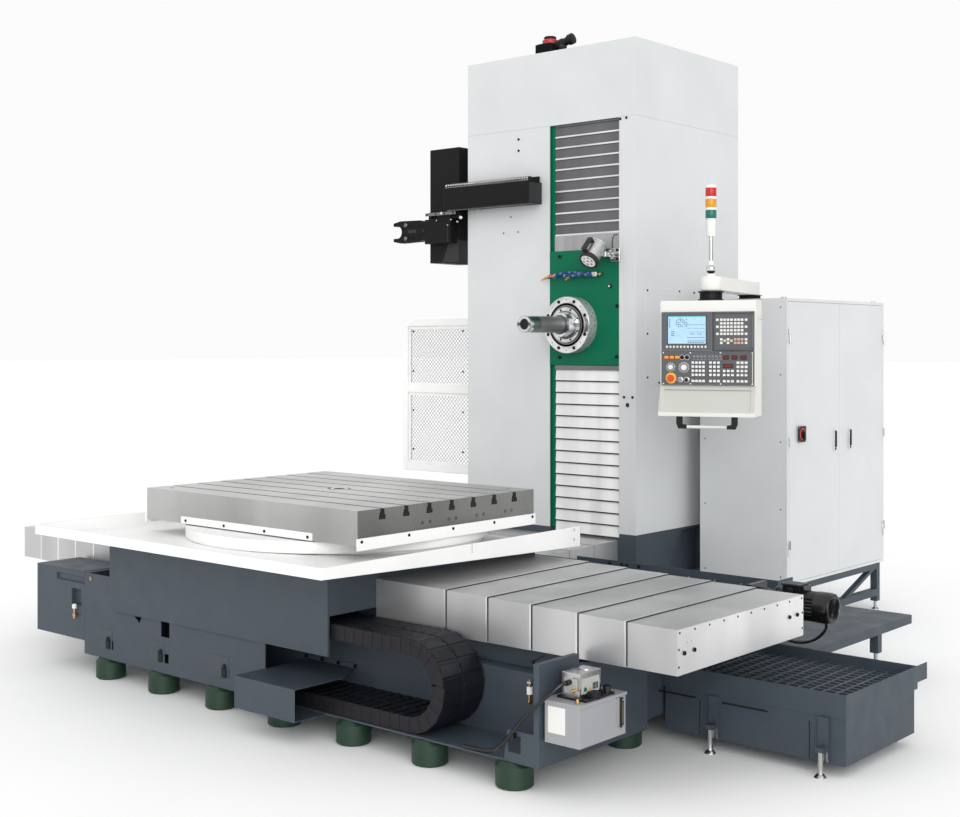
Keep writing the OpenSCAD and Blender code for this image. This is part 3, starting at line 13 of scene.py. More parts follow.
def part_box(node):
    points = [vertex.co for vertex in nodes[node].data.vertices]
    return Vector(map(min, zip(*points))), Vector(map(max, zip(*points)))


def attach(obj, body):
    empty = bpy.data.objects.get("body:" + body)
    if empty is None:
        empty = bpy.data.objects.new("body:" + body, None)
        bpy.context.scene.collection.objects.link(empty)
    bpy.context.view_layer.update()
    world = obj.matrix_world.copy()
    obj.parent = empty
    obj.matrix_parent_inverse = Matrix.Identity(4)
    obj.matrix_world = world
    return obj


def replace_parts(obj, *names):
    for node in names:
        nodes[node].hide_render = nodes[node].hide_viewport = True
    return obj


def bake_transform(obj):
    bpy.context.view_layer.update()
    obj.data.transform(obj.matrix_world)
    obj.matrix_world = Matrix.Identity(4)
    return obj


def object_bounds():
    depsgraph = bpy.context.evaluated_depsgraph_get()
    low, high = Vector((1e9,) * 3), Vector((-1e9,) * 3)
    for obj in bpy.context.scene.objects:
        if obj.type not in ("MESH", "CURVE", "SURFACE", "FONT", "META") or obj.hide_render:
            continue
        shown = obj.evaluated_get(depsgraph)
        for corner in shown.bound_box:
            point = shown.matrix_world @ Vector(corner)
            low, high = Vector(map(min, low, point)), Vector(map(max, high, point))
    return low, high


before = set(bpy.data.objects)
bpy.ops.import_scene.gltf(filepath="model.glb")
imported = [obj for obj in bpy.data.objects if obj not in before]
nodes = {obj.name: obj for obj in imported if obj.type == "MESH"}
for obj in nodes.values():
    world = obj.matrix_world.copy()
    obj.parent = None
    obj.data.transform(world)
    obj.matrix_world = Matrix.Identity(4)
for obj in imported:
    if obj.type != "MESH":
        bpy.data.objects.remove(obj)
cad_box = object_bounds()


# ------------------------------------------------------------------ materials


class Graph:
    """A material's node tree, with one call for each kind of node that the finishes use."""

    def __init__(self, name, rgb, rough, metal=0.0):
        self.material = bpy.data.materials.new(name)
        self.material.use_nodes = True
        self.tree = self.material.node_tree
        self.shader = self.tree.nodes["Principled BSDF"]
        self.shader.inputs["Base Color"].default_value = (*rgb, 1)
        self.shader.inputs["Roughness"].default_value = rough
        self.shader.inputs["Metallic"].default_value = metal
        self.material.diffuse_color = (*rgb, 1)
        self.place = self.add("ShaderNodeTexCoord").outputs["Object"]

    def add(self, kind, **values):
        node = self.tree.nodes.new(kind)
        for key, value in values.items():
            if hasattr(node, key):
                setattr(node, key, value)
            else:
                node.inputs[key.replace("_", " ").title()].default_value = value
        return node

    def join(self, out, socket):
        self.tree.links.new(out, socket)

    def noise(self, scale, detail=4.0, stretch=(1, 1, 1)):
        """Grey noise in object space, scale in cells a metre, multiplied along each axis."""
        mapping = self.add("ShaderNodeMapping")
        mapping.inputs["Scale"].default_value = stretch
        self.join(self.place, mapping.inputs["Vector"])
        node = self.add("ShaderNodeTexNoise", scale=scale, detail=detail)
        self.join(mapping.outputs[0], node.inputs["Vector"])
        return node.outputs["Fac"]

    def span(self, value, low, high, start=0.3, end=0.7):
        """Spreads value, from start to end, over low to high."""
        node = self.add("ShaderNodeMapRange")
        for key, number in zip(("From Min", "From Max", "To Min", "To Max"), (start, end, low, high)):
            node.inputs[key].default_value = number
        self.join(value, node.inputs["Value"])
        return node.outputs["Result"]

    def blend(self, fac, a, b, mode="MIX"):
        node = self.add("ShaderNodeMix", data_type="RGBA", blend_type=mode)
        for socket, value in ((node.inputs[0], fac), (node.inputs[6], a), (node.inputs[7], b)):
            if isinstance(value, bpy.types.NodeSocket):
                self.join(value, socket)
            elif isinstance(value, tuple):
                socket.default_value = (*value, 1)
            else:
                socket.default_value = value
        return node.outputs[2]

    def relief(self, height, distance, strength=1.0):
        node = self.add("ShaderNodeBump", strength=strength, distance=distance)
        self.join(height, node.inputs["Height"])
        self.join(node.outputs[0], self.shader.inputs["Normal"])

    def colour(self, socket):
        self.join(socket, self.shader.inputs["Base Color"])

    def roughness(self, socket):
        self.join(socket, self.shader.inputs["Roughness"])


def shade(rgb, factor):
    return tuple(min(1.0, c * factor) for c in rgb)


def paint(name, rgb, rough=0.4, grain=0.00012, cell=900, mottle=0.03, shine=0.5):
    """Sprayed paint on sheet or casting: fine orange peel and slow shifts of tone and gloss."""
    g = Graph(name, rgb, rough)
    g.shader.inputs["Specular IOR Level"].default_value = shine
    slow = g.noise(2.3, 3)
    g.colour(g.blend(g.span(slow, 0, 1), shade(rgb, 1 - mottle), shade(rgb, 1 + mottle)))
    g.roughness(g.span(g.noise(14, 5), rough - 0.07, rough + 0.07))
    g.relief(g.noise(cell, 2), grain)
    return g.material


def cast_paint(name, rgb, rough=0.55):
    """Filled and painted cast iron: coarser peel, shallow waves and a little dust in them."""
    g = Graph(name, rgb, rough)
    waves = g.noise(9, 5)
    dust = g.span(g.noise(3.1, 6), 0, 0.25, 0.45, 0.75)
    base = g.blend(g.span(waves, 0, 1), shade(rgb, 0.93), shade(rgb, 1.08))
    g.colour(g.blend(dust, base, shade(rgb, 1.2)))
    g.roughness(g.span(waves, rough - 0.1, rough + 0.1))
    g.relief(g.noise(320, 6), 0.0005)
    return g.material


def steel(name, rgb, rough=0.3, along=(1, 1, 1), scratch=0.25, relief=0.00005, bands=(1, 1, 1),
          metal=1.0):
    """Ground or polished steel: long fine scratches and soft cloudy bands, in tone and gloss."""
    g = Graph(name, rgb, rough, metal)
    lines = g.noise(60, 8, along)
    cloud = g.noise(2.2, 2, bands)
    tone = g.blend(g.span(lines, 0, 1), shade(rgb, 1 - scratch), shade(rgb, 1 + scratch / 2))
    g.colour(g.blend(g.span(cloud, 0, 1, 0.35, 0.65), tone, shade(rgb, 0.72)))
    g.roughness(g.span(lines, rough - 0.08, rough + 0.12))
    g.relief(lines, relief)
    return g.material


def plastic(name, rgb, rough=0.4, grain=0.00008, shine=0.5):
    g = Graph(name, rgb, rough)
    g.shader.inputs["Specular IOR Level"].default_value = shine
    g.roughness(g.span(g.noise(30, 4), rough - 0.05, rough + 0.08))
    g.colour(g.blend(g.span(g.noise(5, 3), 0, 1), shade(rgb, 0.94), shade(rgb, 1.06)))
    g.relief(g.noise(1200, 3), grain)
    return g.material


def glow(name, rgb, strength):
    """A lit display or lens: some light of its own under a glossy cover; on plain glass this glow is painted
    light.
    """
    g = Graph(name, rgb, 0.25)
    g.shader.inputs["Emission Color"].default_value = (*rgb, 1)
    g.shader.inputs["Emission Strength"].default_value = strength
    g.roughness(g.span(g.noise(20, 2), 0.2, 0.3))
    g.colour(g.blend(g.span(g.noise(40, 3), 0, 1), shade(rgb, 0.9), shade(rgb, 1.05)))
    return g.material


# Painted and cast surfaces
WHITE = paint("white_sheet", (0.61, 0.625, 0.63), 0.45)
BRIGHT = paint("bright_white", (0.88, 0.88, 0.87), 0.4)
IVORY = paint("ivory_paint", (0.74, 0.74, 0.71), 0.42)
# A darker copy of the ivory: painted shade on the pendant's sloping panel
IVORY_SHADE = paint("ivory_painted_shade", (0.5, 0.5, 0.465), 0.45)
MESH_GREY = paint("mesh_grey", (0.44, 0.44, 0.44), 0.45)
PUMP_PLATE = paint("pump_plate", (0.42, 0.42, 0.4), 0.4)
TANK_GREY = paint("tank_grey", (0.31, 0.315, 0.33), 0.42)
HATCH_GREY = paint("hatch_grey", (0.04, 0.052, 0.066), 0.45)
GREY_BLACK = paint("grey_black", (0.03, 0.03, 0.032), 0.38, shine=0.2)
BLACK = paint("black_paint", (0.008, 0.008, 0.0085), 0.42, shine=0.12)
GREEN = paint("green_paint", (0.0, 0.135, 0.066), 0.4, shine=0.15)
CASTING = cast_paint("blue_grey_casting", (0.041, 0.055, 0.071))
FOOT_GREEN = cast_paint("foot_green", (0.006, 0.031, 0.015), 0.5)

# Bare metal, most of it ground along one axis
TABLE_STEEL = steel("table_steel", (0.56, 0.56, 0.55), 0.3, (1, 24, 24), 0.18, 0.00005, (1, 1, 0.2))
# The table's steel ground across, at half the tone: painted shade for its right side
TABLE_SIDE_SHADE = steel("table_side_painted_shade", (0.26, 0.26, 0.255), 0.25, (24, 1, 24), 0.25, 0.00005, (0.2, 1, 1))
COVER_STEEL = steel("cover_steel", (0.64, 0.64, 0.645), 0.33, (40, 1, 40), 0.1, 0.00003, (1, 1, 0.3),
                    0.7)
END_STEEL = steel("end_plate_steel", (0.92, 0.92, 0.915), 0.45, (40, 1, 40), 0.06, 0.00003, (1, 1, 0.3))
# The slats' stainless in two copies: a near-white one as painted light on the lower slats, a dark one as
# painted shade on the upper slats
SLAT_STEEL_LIT = steel("slat_steel_painted_light", (0.97, 0.97, 0.975), 0.45, (1, 40, 40), 0.06, 0.00003,
                   (2.2, 0.1, 0.1), 0.12)
SLAT_STEEL_SHADED = steel("slat_steel_painted_shade", (0.19, 0.19, 0.2), 0.42, (1, 40, 40), 0.15, 0.00003, (2.2, 0.1, 0.1))
GROUND_STEEL = steel("ground_steel", (0.62, 0.62, 0.62), 0.2, (30, 1, 30), 0.15)
CHROME = steel("polished_steel", (0.8, 0.8, 0.81), 0.1, (30, 1, 30), 0.08, 0.00002, (5, 5, 5))
FLANGE_SIDE = steel("flange_side", (0.7, 0.7, 0.71), 0.28, (1, 1, 1), 0.12, 0.00002,
                    (1.2, 1.2, 1.2), 0.55)
QUILL_STEEL = steel("quill_steel", (0.26, 0.26, 0.265), 0.3, (30, 1, 30), 0.15, 0.00002, (1, 1, 1), 0.6)
LID_STEEL = steel("lid_steel", (0.42, 0.42, 0.43), 0.4, (1, 30, 30), 0.1, 0.00003, (3, 0.1, 0.1), 0.5)
DARK_STEEL = steel("dark_steel", (0.24, 0.245, 0.255), 0.3, (30, 1, 30), 0.2)
# Blackened screws; also painted shade inside the boring spindle's taper
SCREW_BLACK_AND_SHADE = steel("blackened_screw_and_bore_shade", (0.035, 0.035, 0.037), 0.4)
# Bright steel for the lamp's fins and the small chain's plates; on the upper slats' lips and the covers'
# folded edges it is a painted highlight
BRIGHT_STEEL_AND_HIGHLIGHT = steel("bright_steel_and_painted_highlight", (0.93, 0.93, 0.93), 0.35, (1, 30, 30), 0.05)
# A dark copy of the slat steel: painted shade on the lower slats' lips
PAINTED_SHADE_STEEL = steel("painted_shade_steel", (0.07, 0.07, 0.075), 0.4, (1, 30, 30), 0.1)
BRASS = steel("brass", (0.62, 0.42, 0.17), 0.3)

# Plastic and rubber
WHITE_PLASTIC = plastic("white_plastic", (0.78, 0.78, 0.74), 0.4)
LIGHT_GREY = plastic("light_grey_plastic", (0.22, 0.225, 0.235), 0.5)
GREY_PLASTIC = plastic("panel_grey", (0.088, 0.09, 0.097), 0.5)
# Black plastic; also painted shade in the ends of the table's T-slots
BLACK_PLASTIC_AND_SLOT_SHADE = plastic("black_plastic", (0.01, 0.01, 0.011), 0.45, shine=0.25)
GLOSS_BLACK = plastic("gloss_black", (0.006, 0.006, 0.0065), 0.16)
CHAIN_SIDE = plastic("chain_side", (0.015, 0.0135, 0.017), 0.5, 0.0001, 0.2)
CHAIN_LID = plastic("chain_lid", (0.007, 0.008, 0.012), 0.38, 0.00005, 0.3)
HOSE_BLACK = plastic("hose_black", (0.007, 0.007, 0.008), 0.22)
RUBBER = plastic("black_rubber", (0.012, 0.012, 0.012), 0.5, 0.0002)
# Black rubber seams; also painted shadow under the covers' lips and painted shade in the tank's drain slots
SEAM_BLACK_AND_SHADE = plastic("seam_rubber_and_painted_shade", (0.012, 0.012, 0.013), 0.55, 0.0001, 0.15)
RED = plastic("stop_red", (0.62, 0.055, 0.02), 0.3)
CAP_RED = plastic("cap_red", (0.42, 0.02, 0.02), 0.35)
YELLOW = plastic("ring_yellow", (0.78, 0.42, 0.03), 0.35)
BLUE = plastic("nozzle_blue", (0.01, 0.055, 0.24), 0.4)
ORANGE = plastic("nozzle_orange", (0.72, 0.27, 0.1), 0.4)
KEY_TAN = plastic("key_tan", (0.62, 0.42, 0.33), 0.4)
KEY_YELLOW = plastic("key_yellow", (0.66, 0.6, 0.36), 0.4)

# Lenses, lamps and displays
LENS_RED = glow("lens_red", (0.48, 0.01, 0.013), 0.12)
LENS_AMBER = glow("lens_amber", (0.62, 0.27, 0.01), 0.12)
LENS_GREEN = glow("lens_green", (0.0, 0.13, 0.1), 0.1)
SCREEN = glow("screen_blue", (0.36, 0.55, 0.72), 0.25)
SCREEN_TEAL = glow("screen_teal", (0.1, 0.42, 0.46), 0.2)
SCREEN_INK = glow("screen_lines", (0.05, 0.1, 0.2), 0.1)
LAMP_ORANGE = glow("lamp_orange", (0.85, 0.25, 0.02), 0.4)
DIGIT_RED = glow("digit_window", (0.1, 0.008, 0.01), 0.3)
# Clear glass with a faint glow of its own: painted light
GLASS_PAINTED_GLOW = glow("glass_painted_glow", (0.75, 0.78, 0.78), 0.15)
# A sight glass with a faint glow of its own: painted light
SIGHT_GLASS_PAINTED_GLOW = glow("sight_glass_painted_glow", (0.1, 0.09, 0.05), 0.05)

# ------------------------------------------------------------------ building forms

# Directions: up, to the front, to the rear, to the right and to the left
UP, NEAR, FAR, EAST, WEST = (0, 0, 1), (0, -1, 0), (0, 1, 0), (1, 0, 0), (-1, 0, 0)


class Piece:
    """Collects closed forms into one mesh, each with its material, and becomes one object."""

    def __init__(self, name, finish):
        self.name = name
        self.verts, self.faces, self.marks, self.round = [], [], [], []
        self.finishes = [finish]
        self.frame = Matrix.Identity(4)

    def form(self, verts, faces, finish=None, smooth=False, ends=()):
        """Adds faces over new points: the ends are always flat, the others flat unless smooth."""
        finish = finish or self.finishes[0]
        if finish not in self.finishes:
            self.finishes.append(finish)
        base = len(self.verts)
        self.verts += [self.frame @ Vector(v) for v in verts]
        for group, curved in ((faces, smooth), (ends, False)):
            self.faces += [[base + i for i in face] for face in group]
            self.marks += [self.finishes.index(finish)] * len(group)
            self.round += [curved] * len(group)
        return self

    def block(self, low, high, finish=None, chamfer=0.002):
        """A box with its twelve edges chamfered."""
        low, high = Vector(low), Vector(high)
        c = min(chamfer, 0.45 * min(high - low))
        verts = []
        for corner in range(8):
            side = [(corner >> axis) & 1 for axis in range(3)]
            end = [high[a] if side[a] else low[a] for a in range(3)]
            inner = [end[a] - c if side[a] else end[a] + c for a in range(3)]
            verts += [[end[a] if a == k else inner[a] for a in range(3)] for k in range(3)]
        faces = []
        for axis in range(3):
            b, d = (axis + 1) % 3, (axis + 2) % 3
            for s in (0, 1):
                ring = [(s << axis) | (p << b) | (q << d) for p, q in ((0, 0), (1, 0), (1, 1), (0, 1))]
                faces.append([3 * i + axis for i in (ring if s else ring[::-1])])
            for p, q in product((0, 1), (0, 1)):
                i = (p << b) | (q << d)
                j = i | (1 << axis)
                quad = [3 * i + b, 3 * j + b, 3 * j + d, 3 * i + d]
                faces.append(quad if p != q else quad[::-1])
        for i in range(8):
            corner = [3 * i, 3 * i + 1, 3 * i + 2]
            faces.append(corner if bin(i).count("1") % 2 else [corner[0], corner[2], corner[1]])
        return self.form(verts, faces, finish)

    def loft(self, rings, finish=None, smooth=False):
        """A closed skin over rings of as many points each."""
        n = len(rings[0])
        last = n * (len(rings) - 1)
        around = [(i, (i + 1) % n) for i in range(n)]
        faces = [[k + i, k + j, k + n + j, k + n + i] for k in range(0, last, n) for i, j in around]
        ends = [range(n)[::-1], range(last, last + n)]
        return self.form([v for ring in rings for v in ring], faces, finish, smooth, ends)

    def lathe(self, origin, axis, profile, finish=None, sides=32):
        """Turns (distance along the axis, radius) points about an axis."""
        axis = Vector(axis).normalized()
        side = axis.orthogonal().normalized()
        origin = Vector(origin)
        rings = [circle(origin + axis * along, side, axis, radius, sides) for along, radius in profile]
        return self.loft(rings, finish, True)

    def rod(self, start, end, radius, finish=None, sides=24, chamfer=0.0015):
        start, end = Vector(start), Vector(end)
        length = (end - start).length
        c = min(chamfer, 0.4 * length, 0.5 * radius)
        profile = [(0, radius - c), (c, radius), (length - c, radius), (length, radius - c)]
        return self.lathe(start, end - start, profile, finish, sides)

    def prism(self, outline, place, finish=None):
        """Draws a flat outline out between two ends: place maps (a, b, end) to a point."""
        return self.loft([[place(a, b, end) for a, b in outline] for end in (0, 1)], finish)

    def hose(self, points, radius, finish=None, sides=12):
        """A round tube through points, smoothed between them."""
        path = smooth_path([Vector(p) for p in points])
        side = (path[1] - path[0]).orthogonal().normalized()
        rings = []
        for i, p in enumerate(path):
            ahead = (path[min(i + 1, len(path) - 1)] - path[max(i - 1, 0)]).normalized()
            side = (side - ahead * side.dot(ahead)).normalized()
            rings.append(circle(p, side, ahead, radius, sides))
        return self.loft(rings, finish, True)

    def screw(self, place, normal, size=0.008, finish=None, head=0.5):
        """A socket head screw: chamfered head with a dark socket."""
        r = size * 0.8
        top = size * head
        profile = [(-0.0005, r), (top * 0.8, r), (top, r * 0.86), (top, r * 0.5), (top * 0.35, r * 0.46)]
        return self.lathe(place, normal, profile, finish or SCREW_BLACK_AND_SHADE, 14)

    def screws(self, places, *kind):
        for place in places:
            self.screw(place, *kind)

    def nut(self, place, normal, across, height, finish=None):
        r = across / sqrt(3)
        profile = [(0, r * 0.93), (height * 0.12, r), (height * 0.85, r), (height, r * 0.9)]
        return self.lathe(place, normal, profile, finish, 6)

    def make(self, body=None, slot=None):
        mesh = bpy.data.meshes.new(self.name)
        mesh.from_pydata([tuple(v) for v in self.verts], [], self.faces)
        mesh.validate()
        for finish in self.finishes:
            mesh.materials.append(finish)
        if len(mesh.polygons) == len(self.marks):
            mesh.polygons.foreach_set("material_index", self.marks)
            mesh.polygons.foreach_set("use_smooth", self.round)
        mesh.update()
        mesh.set_sharp_from_angle(angle=SHARP)
        piece = bpy.data.objects.new(self.name, mesh)
        bpy.context.scene.collection.objects.link(piece)
        if body:
            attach(piece, body)
        return piece


SHARP = radians(35)


def circle(centre, side, axis, radius, count):
    """count points about an axis, from side on."""
    up = axis.cross(side)
    turns = [2 * pi * i / count for i in range(count)]
    return [centre + (side * cos(a) + up * sin(a)) * radius for a in turns]


def smooth_path(points, steps=6):
    """Catmull-Rom curve through the points."""
    out = []
    for i in range(len(points) - 1):
        a, b = points[max(i - 1, 0)], points[i]
        c, d = points[i + 1], points[min(i + 2, len(points) - 1)]
        for t in [k / steps for k in range(steps)]:
            out.append(0.5 * (2 * b + (c - a) * t + (2 * a - 5 * b + 4 * c - d) * t * t
                              + (3 * b - a - 3 * c + d) * t ** 3))
    return out + [points[-1]]


def spaced(low, high, count):
    """count numbers from low to high, both ends included."""
    return [low + (high - low) * i / (count - 1) for i in range(count)]


def grid(*axes):
    """Every point whose x, y and z are among the numbers given for each axis."""
    return product(*[axis if isinstance(axis, (list, tuple)) else [axis] for axis in axes])


def round_edges(names, width):
    """Gives CAD nodes real rounded edges, without touching their own meshes."""
    for name in names.split():
        weld = nodes[name].modifiers.new("weld", "WELD")
        weld.merge_threshold = 1e-5
        bevel = nodes[name].modifiers.new("bevel", "BEVEL")
        bevel.width = width
        bevel.segments = 2
        bevel.limit_method = "ANGLE"
        bevel.angle_limit = SHARP
        bevel.use_clamp_overlap = True
        bevel.harden_normals = True


def repaint(name, finish, where):
    """Gives another finish to the faces of a CAD node for which where(centre, normal) is true."""
    mesh = nodes[name].data
    mesh.materials.append(finish)
    for face in mesh.polygons:
        if where(face.center, face.normal):
            face.material_index = len(mesh.materials) - 1


# ------------------------------------------------------------------ the CAD solids' finishes

for finish, names in (
    (CASTING, "x_bed bed_end_box carrier_box z_bed chip_trough catch_tank tank_grate side_tray"),
    (CASTING, "cabinet_stand saddle column_saddle"),
    (BRIGHT, "signal_tower saddle_tray rotary_base table_skirt guard_cage"),
    (WHITE, "cabinet door_front door_rear column_cover"),
    (BLACK, "y_drive_motor atc_housing atc_beam atc_carriage atc_gripper"),
    (IVORY, "pendant_arm pendant_case"),
    (GREEN, "column_frame headstock"),
    (FOOT_GREEN, "levelling_feet"),
    (TANK_GREY, "lube_tank"),
    (COVER_STEEL, "z_covers x_covers_1 x_covers_2 x_covers_3 x_covers_4 x_covers_5 x_covers_6"),
    (GROUND_STEEL, "feed_screws lube_pump work_light"),
    (DARK_STEEL, "auger spindle_nose"),
    (CHROME, "spindle_flange milling_spindle"),
    (TABLE_STEEL, "rotary_table"),
    (QUILL_STEEL, "boring_spindle"),
    (LID_STEEL, "headstock_cover"),
    (SLAT_STEEL_SHADED, "upper_way_cover"),
    (SLAT_STEEL_LIT, "lower_way_cover"),
    (GLOSS_BLACK, "auger_motor"),
    (BLACK_PLASTIC_AND_SLOT_SHADE, "main_switch carrier_lower carrier_upper"),
    (GREY_PLASTIC, "operator_panel"),
    (WHITE_PLASTIC, "cabinet_panel feed_dial speed_dial"),
    (RED, "e_stop"),
    (BLUE, "coolant_nozzles"),
):
    for name in names.split():
        nodes[name].data.materials.clear()
        nodes[name].data.materials.append(finish)

round_edges("x_bed bed_end_box saddle carrier_box catch_tank side_tray z_bed column_saddle chip_trough "
            "lube_tank cabinet saddle_tray table_skirt headstock atc_housing atc_beam atc_carriage "
            "atc_gripper", 0.003)
round_edges("rotary_table column_cover door_front door_rear", 0.0015)
round_edges("pendant_case", 0.012)
round_edges("pendant_arm", 0.008)
round_edges("operator_panel", 0.001)
round_edges("rotary_base", 0.004)

# Bare feet and end plates, the table's right side (ground across, and darker as painted shade), and the
# parts of one solid that differ in colour
repaint("x_covers_6", END_STEEL, lambda c, n: abs(n.x) > 0.9 and abs(c.x) > 2.17)
repaint("catch_tank", GROUND_STEEL, lambda c, n: c.z < 0.054 or (c.y < 0.19 and c.z < 0.115))
repaint("side_tray", GROUND_STEEL, lambda c, n: c.z < 0.179)
repaint("cabinet_stand", GROUND_STEEL, lambda c, n: c.z < 0.059)
# The table's right side: darker steel as painted shade
repaint("rotary_table", TABLE_SIDE_SHADE, lambda c, n: n.x > 0.9 and c.x > 0.39)
repaint("pendant_case", BLACK_PLASTIC_AND_SLOT_SHADE, lambda c, n: c.z < 1.4955
        and abs(abs((c.x - 0.94) * 0.94 + (c.y - 1.7) * 0.342) - 0.168) < 0.05)
# The pendant's sloping panel in the darker ivory: painted shade
repaint("pendant_case", IVORY_SHADE, lambda c, n: 1.5 < c.z < 1.69 and n.z > 0.1 and n.y < -0.5)
repaint("spindle_flange", FLANGE_SIDE, lambda c, n: abs(n.y) < 0.3)
repaint("lube_pump", HOSE_BLACK,
        lambda c, n: c.x < 1.748 or c.x > 1.846 or c.y < -0.794 or c.z > 0.53)

# ------------------------------------------------------------------ column

LEFT, FRONT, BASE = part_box("column_cover")[0]
RIGHT, REAR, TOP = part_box("column_cover")[1]
OPEN_LEFT, OPEN_RIGHT, OPEN_TOP = -0.573, 0.012, 3.448
SLOT_LEFT, SLOT_RIGHT = OPEN_LEFT + 0.041, OPEN_RIGHT - 0.001
HEAD_LOW, HEAD_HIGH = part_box("headstock")[0][2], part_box("headstock")[1][2]
SLATS_LOW, SLATS_HIGH = 0.631, HEAD_HIGH + 0.105


def louvres(piece, low, high, face, sign, rows, across=True):
    """Rows of pressed slots in a sheet at y = face, or at x = face if they don't run across."""
    step = (high[1] - low[1]) / rows
    outline = [(0, 0.004), (0.006, 0.004), (0.0075, 0.009), (0, step * 0.62)]
    for k in range(rows):

        def place(a, b, end):
            spot = high[0] if end else low[0], face + sign * a
            return (*(spot if across else spot[::-1]), low[1] + k * step + b)

        piece.prism(outline, place)


def column_details():
    p = Piece("column_fasteners", SCREW_BLACK_AND_SHADE)
    # Three sunk heads in the tool changer's path, and raised ones elsewhere
    for x, z in ((-0.925, 2.838), (-0.992, 2.726), (-0.86, 2.728)):
        p.lathe((x, FRONT + 0.0004, z), NEAR, [(0, 0.0066), (0.0006, 0.0064), (0.0005, 0.0035)])
    for x, z in ((-0.853, 3.383), (-0.853, 3.303), (0.024, 3.435), (0.073, 3.438), (0.054, 1.58),
                 (0.122, 1.58)):
        p.screw((x, FRONT, z), NEAR, 0.011)
    for y, z in ((2.222, 2.293), (2.613, 2.297), (2.222, 2.002), (2.222, 1.71), (2.36, 1.672),
                 (2.8, 1.672), (2.8, 2.293)):
        p.screw((RIGHT + 0.0018, y, z), EAST, 0.009)
    heights = spaced(BASE + 0.08, OPEN_TOP - 0.1, 6)
    p.screws(grid([LEFT + 0.06, LEFT + 0.74, RIGHT - 0.06], REAR, heights), FAR, 0.009)
    heights = spaced(BASE + 0.08, TOP - 0.1, 7)
    p.screws(grid(LEFT, [FRONT + 0.07, REAR - 0.07], heights), WEST, 0.009)
    p.make("column", "black_paint")

    # The cover over the drive on the right, a seam, and two doors with louvres at the back
    p = Piece("column_panels", WHITE)
    p.block((RIGHT - 0.001, 2.205, 1.655), (RIGHT + 0.0018, 2.83, 2.31), None, 0.0012)
    p.block((RIGHT - 0.0005, FRONT + 0.75, BASE + 0.02), (RIGHT + 0.0012, FRONT + 0.7512, OPEN_TOP),
            None, 0.0005)
    for left, right in ((LEFT + 0.1, LEFT + 0.68), (LEFT + 0.8, RIGHT - 0.1)):
        p.block((left, REAR - 0.001, BASE + 0.4), (right, REAR + 0.002, BASE + 1.3), None, 0.0012)
        left += 0.1
        louvres(p, (left, BASE + 0.6), (left + 0.38, BASE + 1.1), REAR + 0.0015, 1, 12)
    p.make("column", "white_paint")

    # The plates that close the foot of the slats, in front of the column's saddle
    p = Piece("slat_foot_plates", DARK_STEEL)
    left, right = OPEN_LEFT + 0.045, OPEN_RIGHT - 0.02
    p.block((left, FRONT + 0.004, 0.5), (right, FRONT + 0.02, 0.566))
    p.block((left, FRONT - 0.004, 0.575), (right, FRONT + 0.016, 0.628))
    p.screws(grid([-0.45, -0.11], FRONT - 0.004, 0.602), NEAR, 0.014)
    p.make("column", "dark_steel")


def slats(name, z_low, z_high, count, face_painted_light, lip_painted_light, lip):
    """Overlapping sheet slats: each leans out to a folded lip that covers the one below. Faces and lips take
    the finishes given, which carry painted light and painted shade.
    """
    p = Piece(name, face_painted_light)
    pitch = (z_high - z_low) / count
    front = FRONT + 0.0105
    back = front + 0.009

    def across(a, b, end):
        return (SLOT_RIGHT if end else SLOT_LEFT, a, b)

    for z in [z_low + k * pitch for k in range(count)]:
        fold = [(front + 0.006, z + lip), (front + 0.002, z + lip)]
        p.prism([(back + 0.004, z + pitch), (back, z + pitch), fold[1], fold[0]], across)
        p.prism(fold + [(front, z + lip - 0.002), (front, z + 0.001), (front + 0.003, z),
                        (front + 0.006, z + 0.002)], across, lip_painted_light)
    return p


def way_cover_details():
    # The slats hang between the column and the headstock
    # Upper slats: dark faces as painted shade, bright lips as painted highlight
    upper = slats("upper_slats", SLATS_HIGH, OPEN_TOP - 0.015, 10, SLAT_STEEL_SHADED, BRIGHT_STEEL_AND_HIGHLIGHT, 0.013)
    upper.block((SLOT_LEFT, FRONT + 0.012, OPEN_TOP - 0.016), (SLOT_RIGHT, FRONT + 0.018, OPEN_TOP - 0.0005))
    upper = upper.make(None, "dark_steel")
    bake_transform(upper)
    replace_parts(upper, "upper_way_cover")
    # Lower slats: near-white faces as painted light, dark lips as painted shade
    lower = slats("lower_slats", SLATS_LOW, HEAD_LOW - 0.034, 14, SLAT_STEEL_LIT, PAINTED_SHADE_STEEL, 0.009)
    lower.block((SLOT_LEFT, FRONT + 0.003, HEAD_LOW - 0.033), (SLOT_RIGHT, FRONT + 0.018, HEAD_LOW - 0.001),
                DARK_STEEL)
    lower = lower.make(None, "steel")
    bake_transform(lower)
    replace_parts(lower, "lower_way_cover")


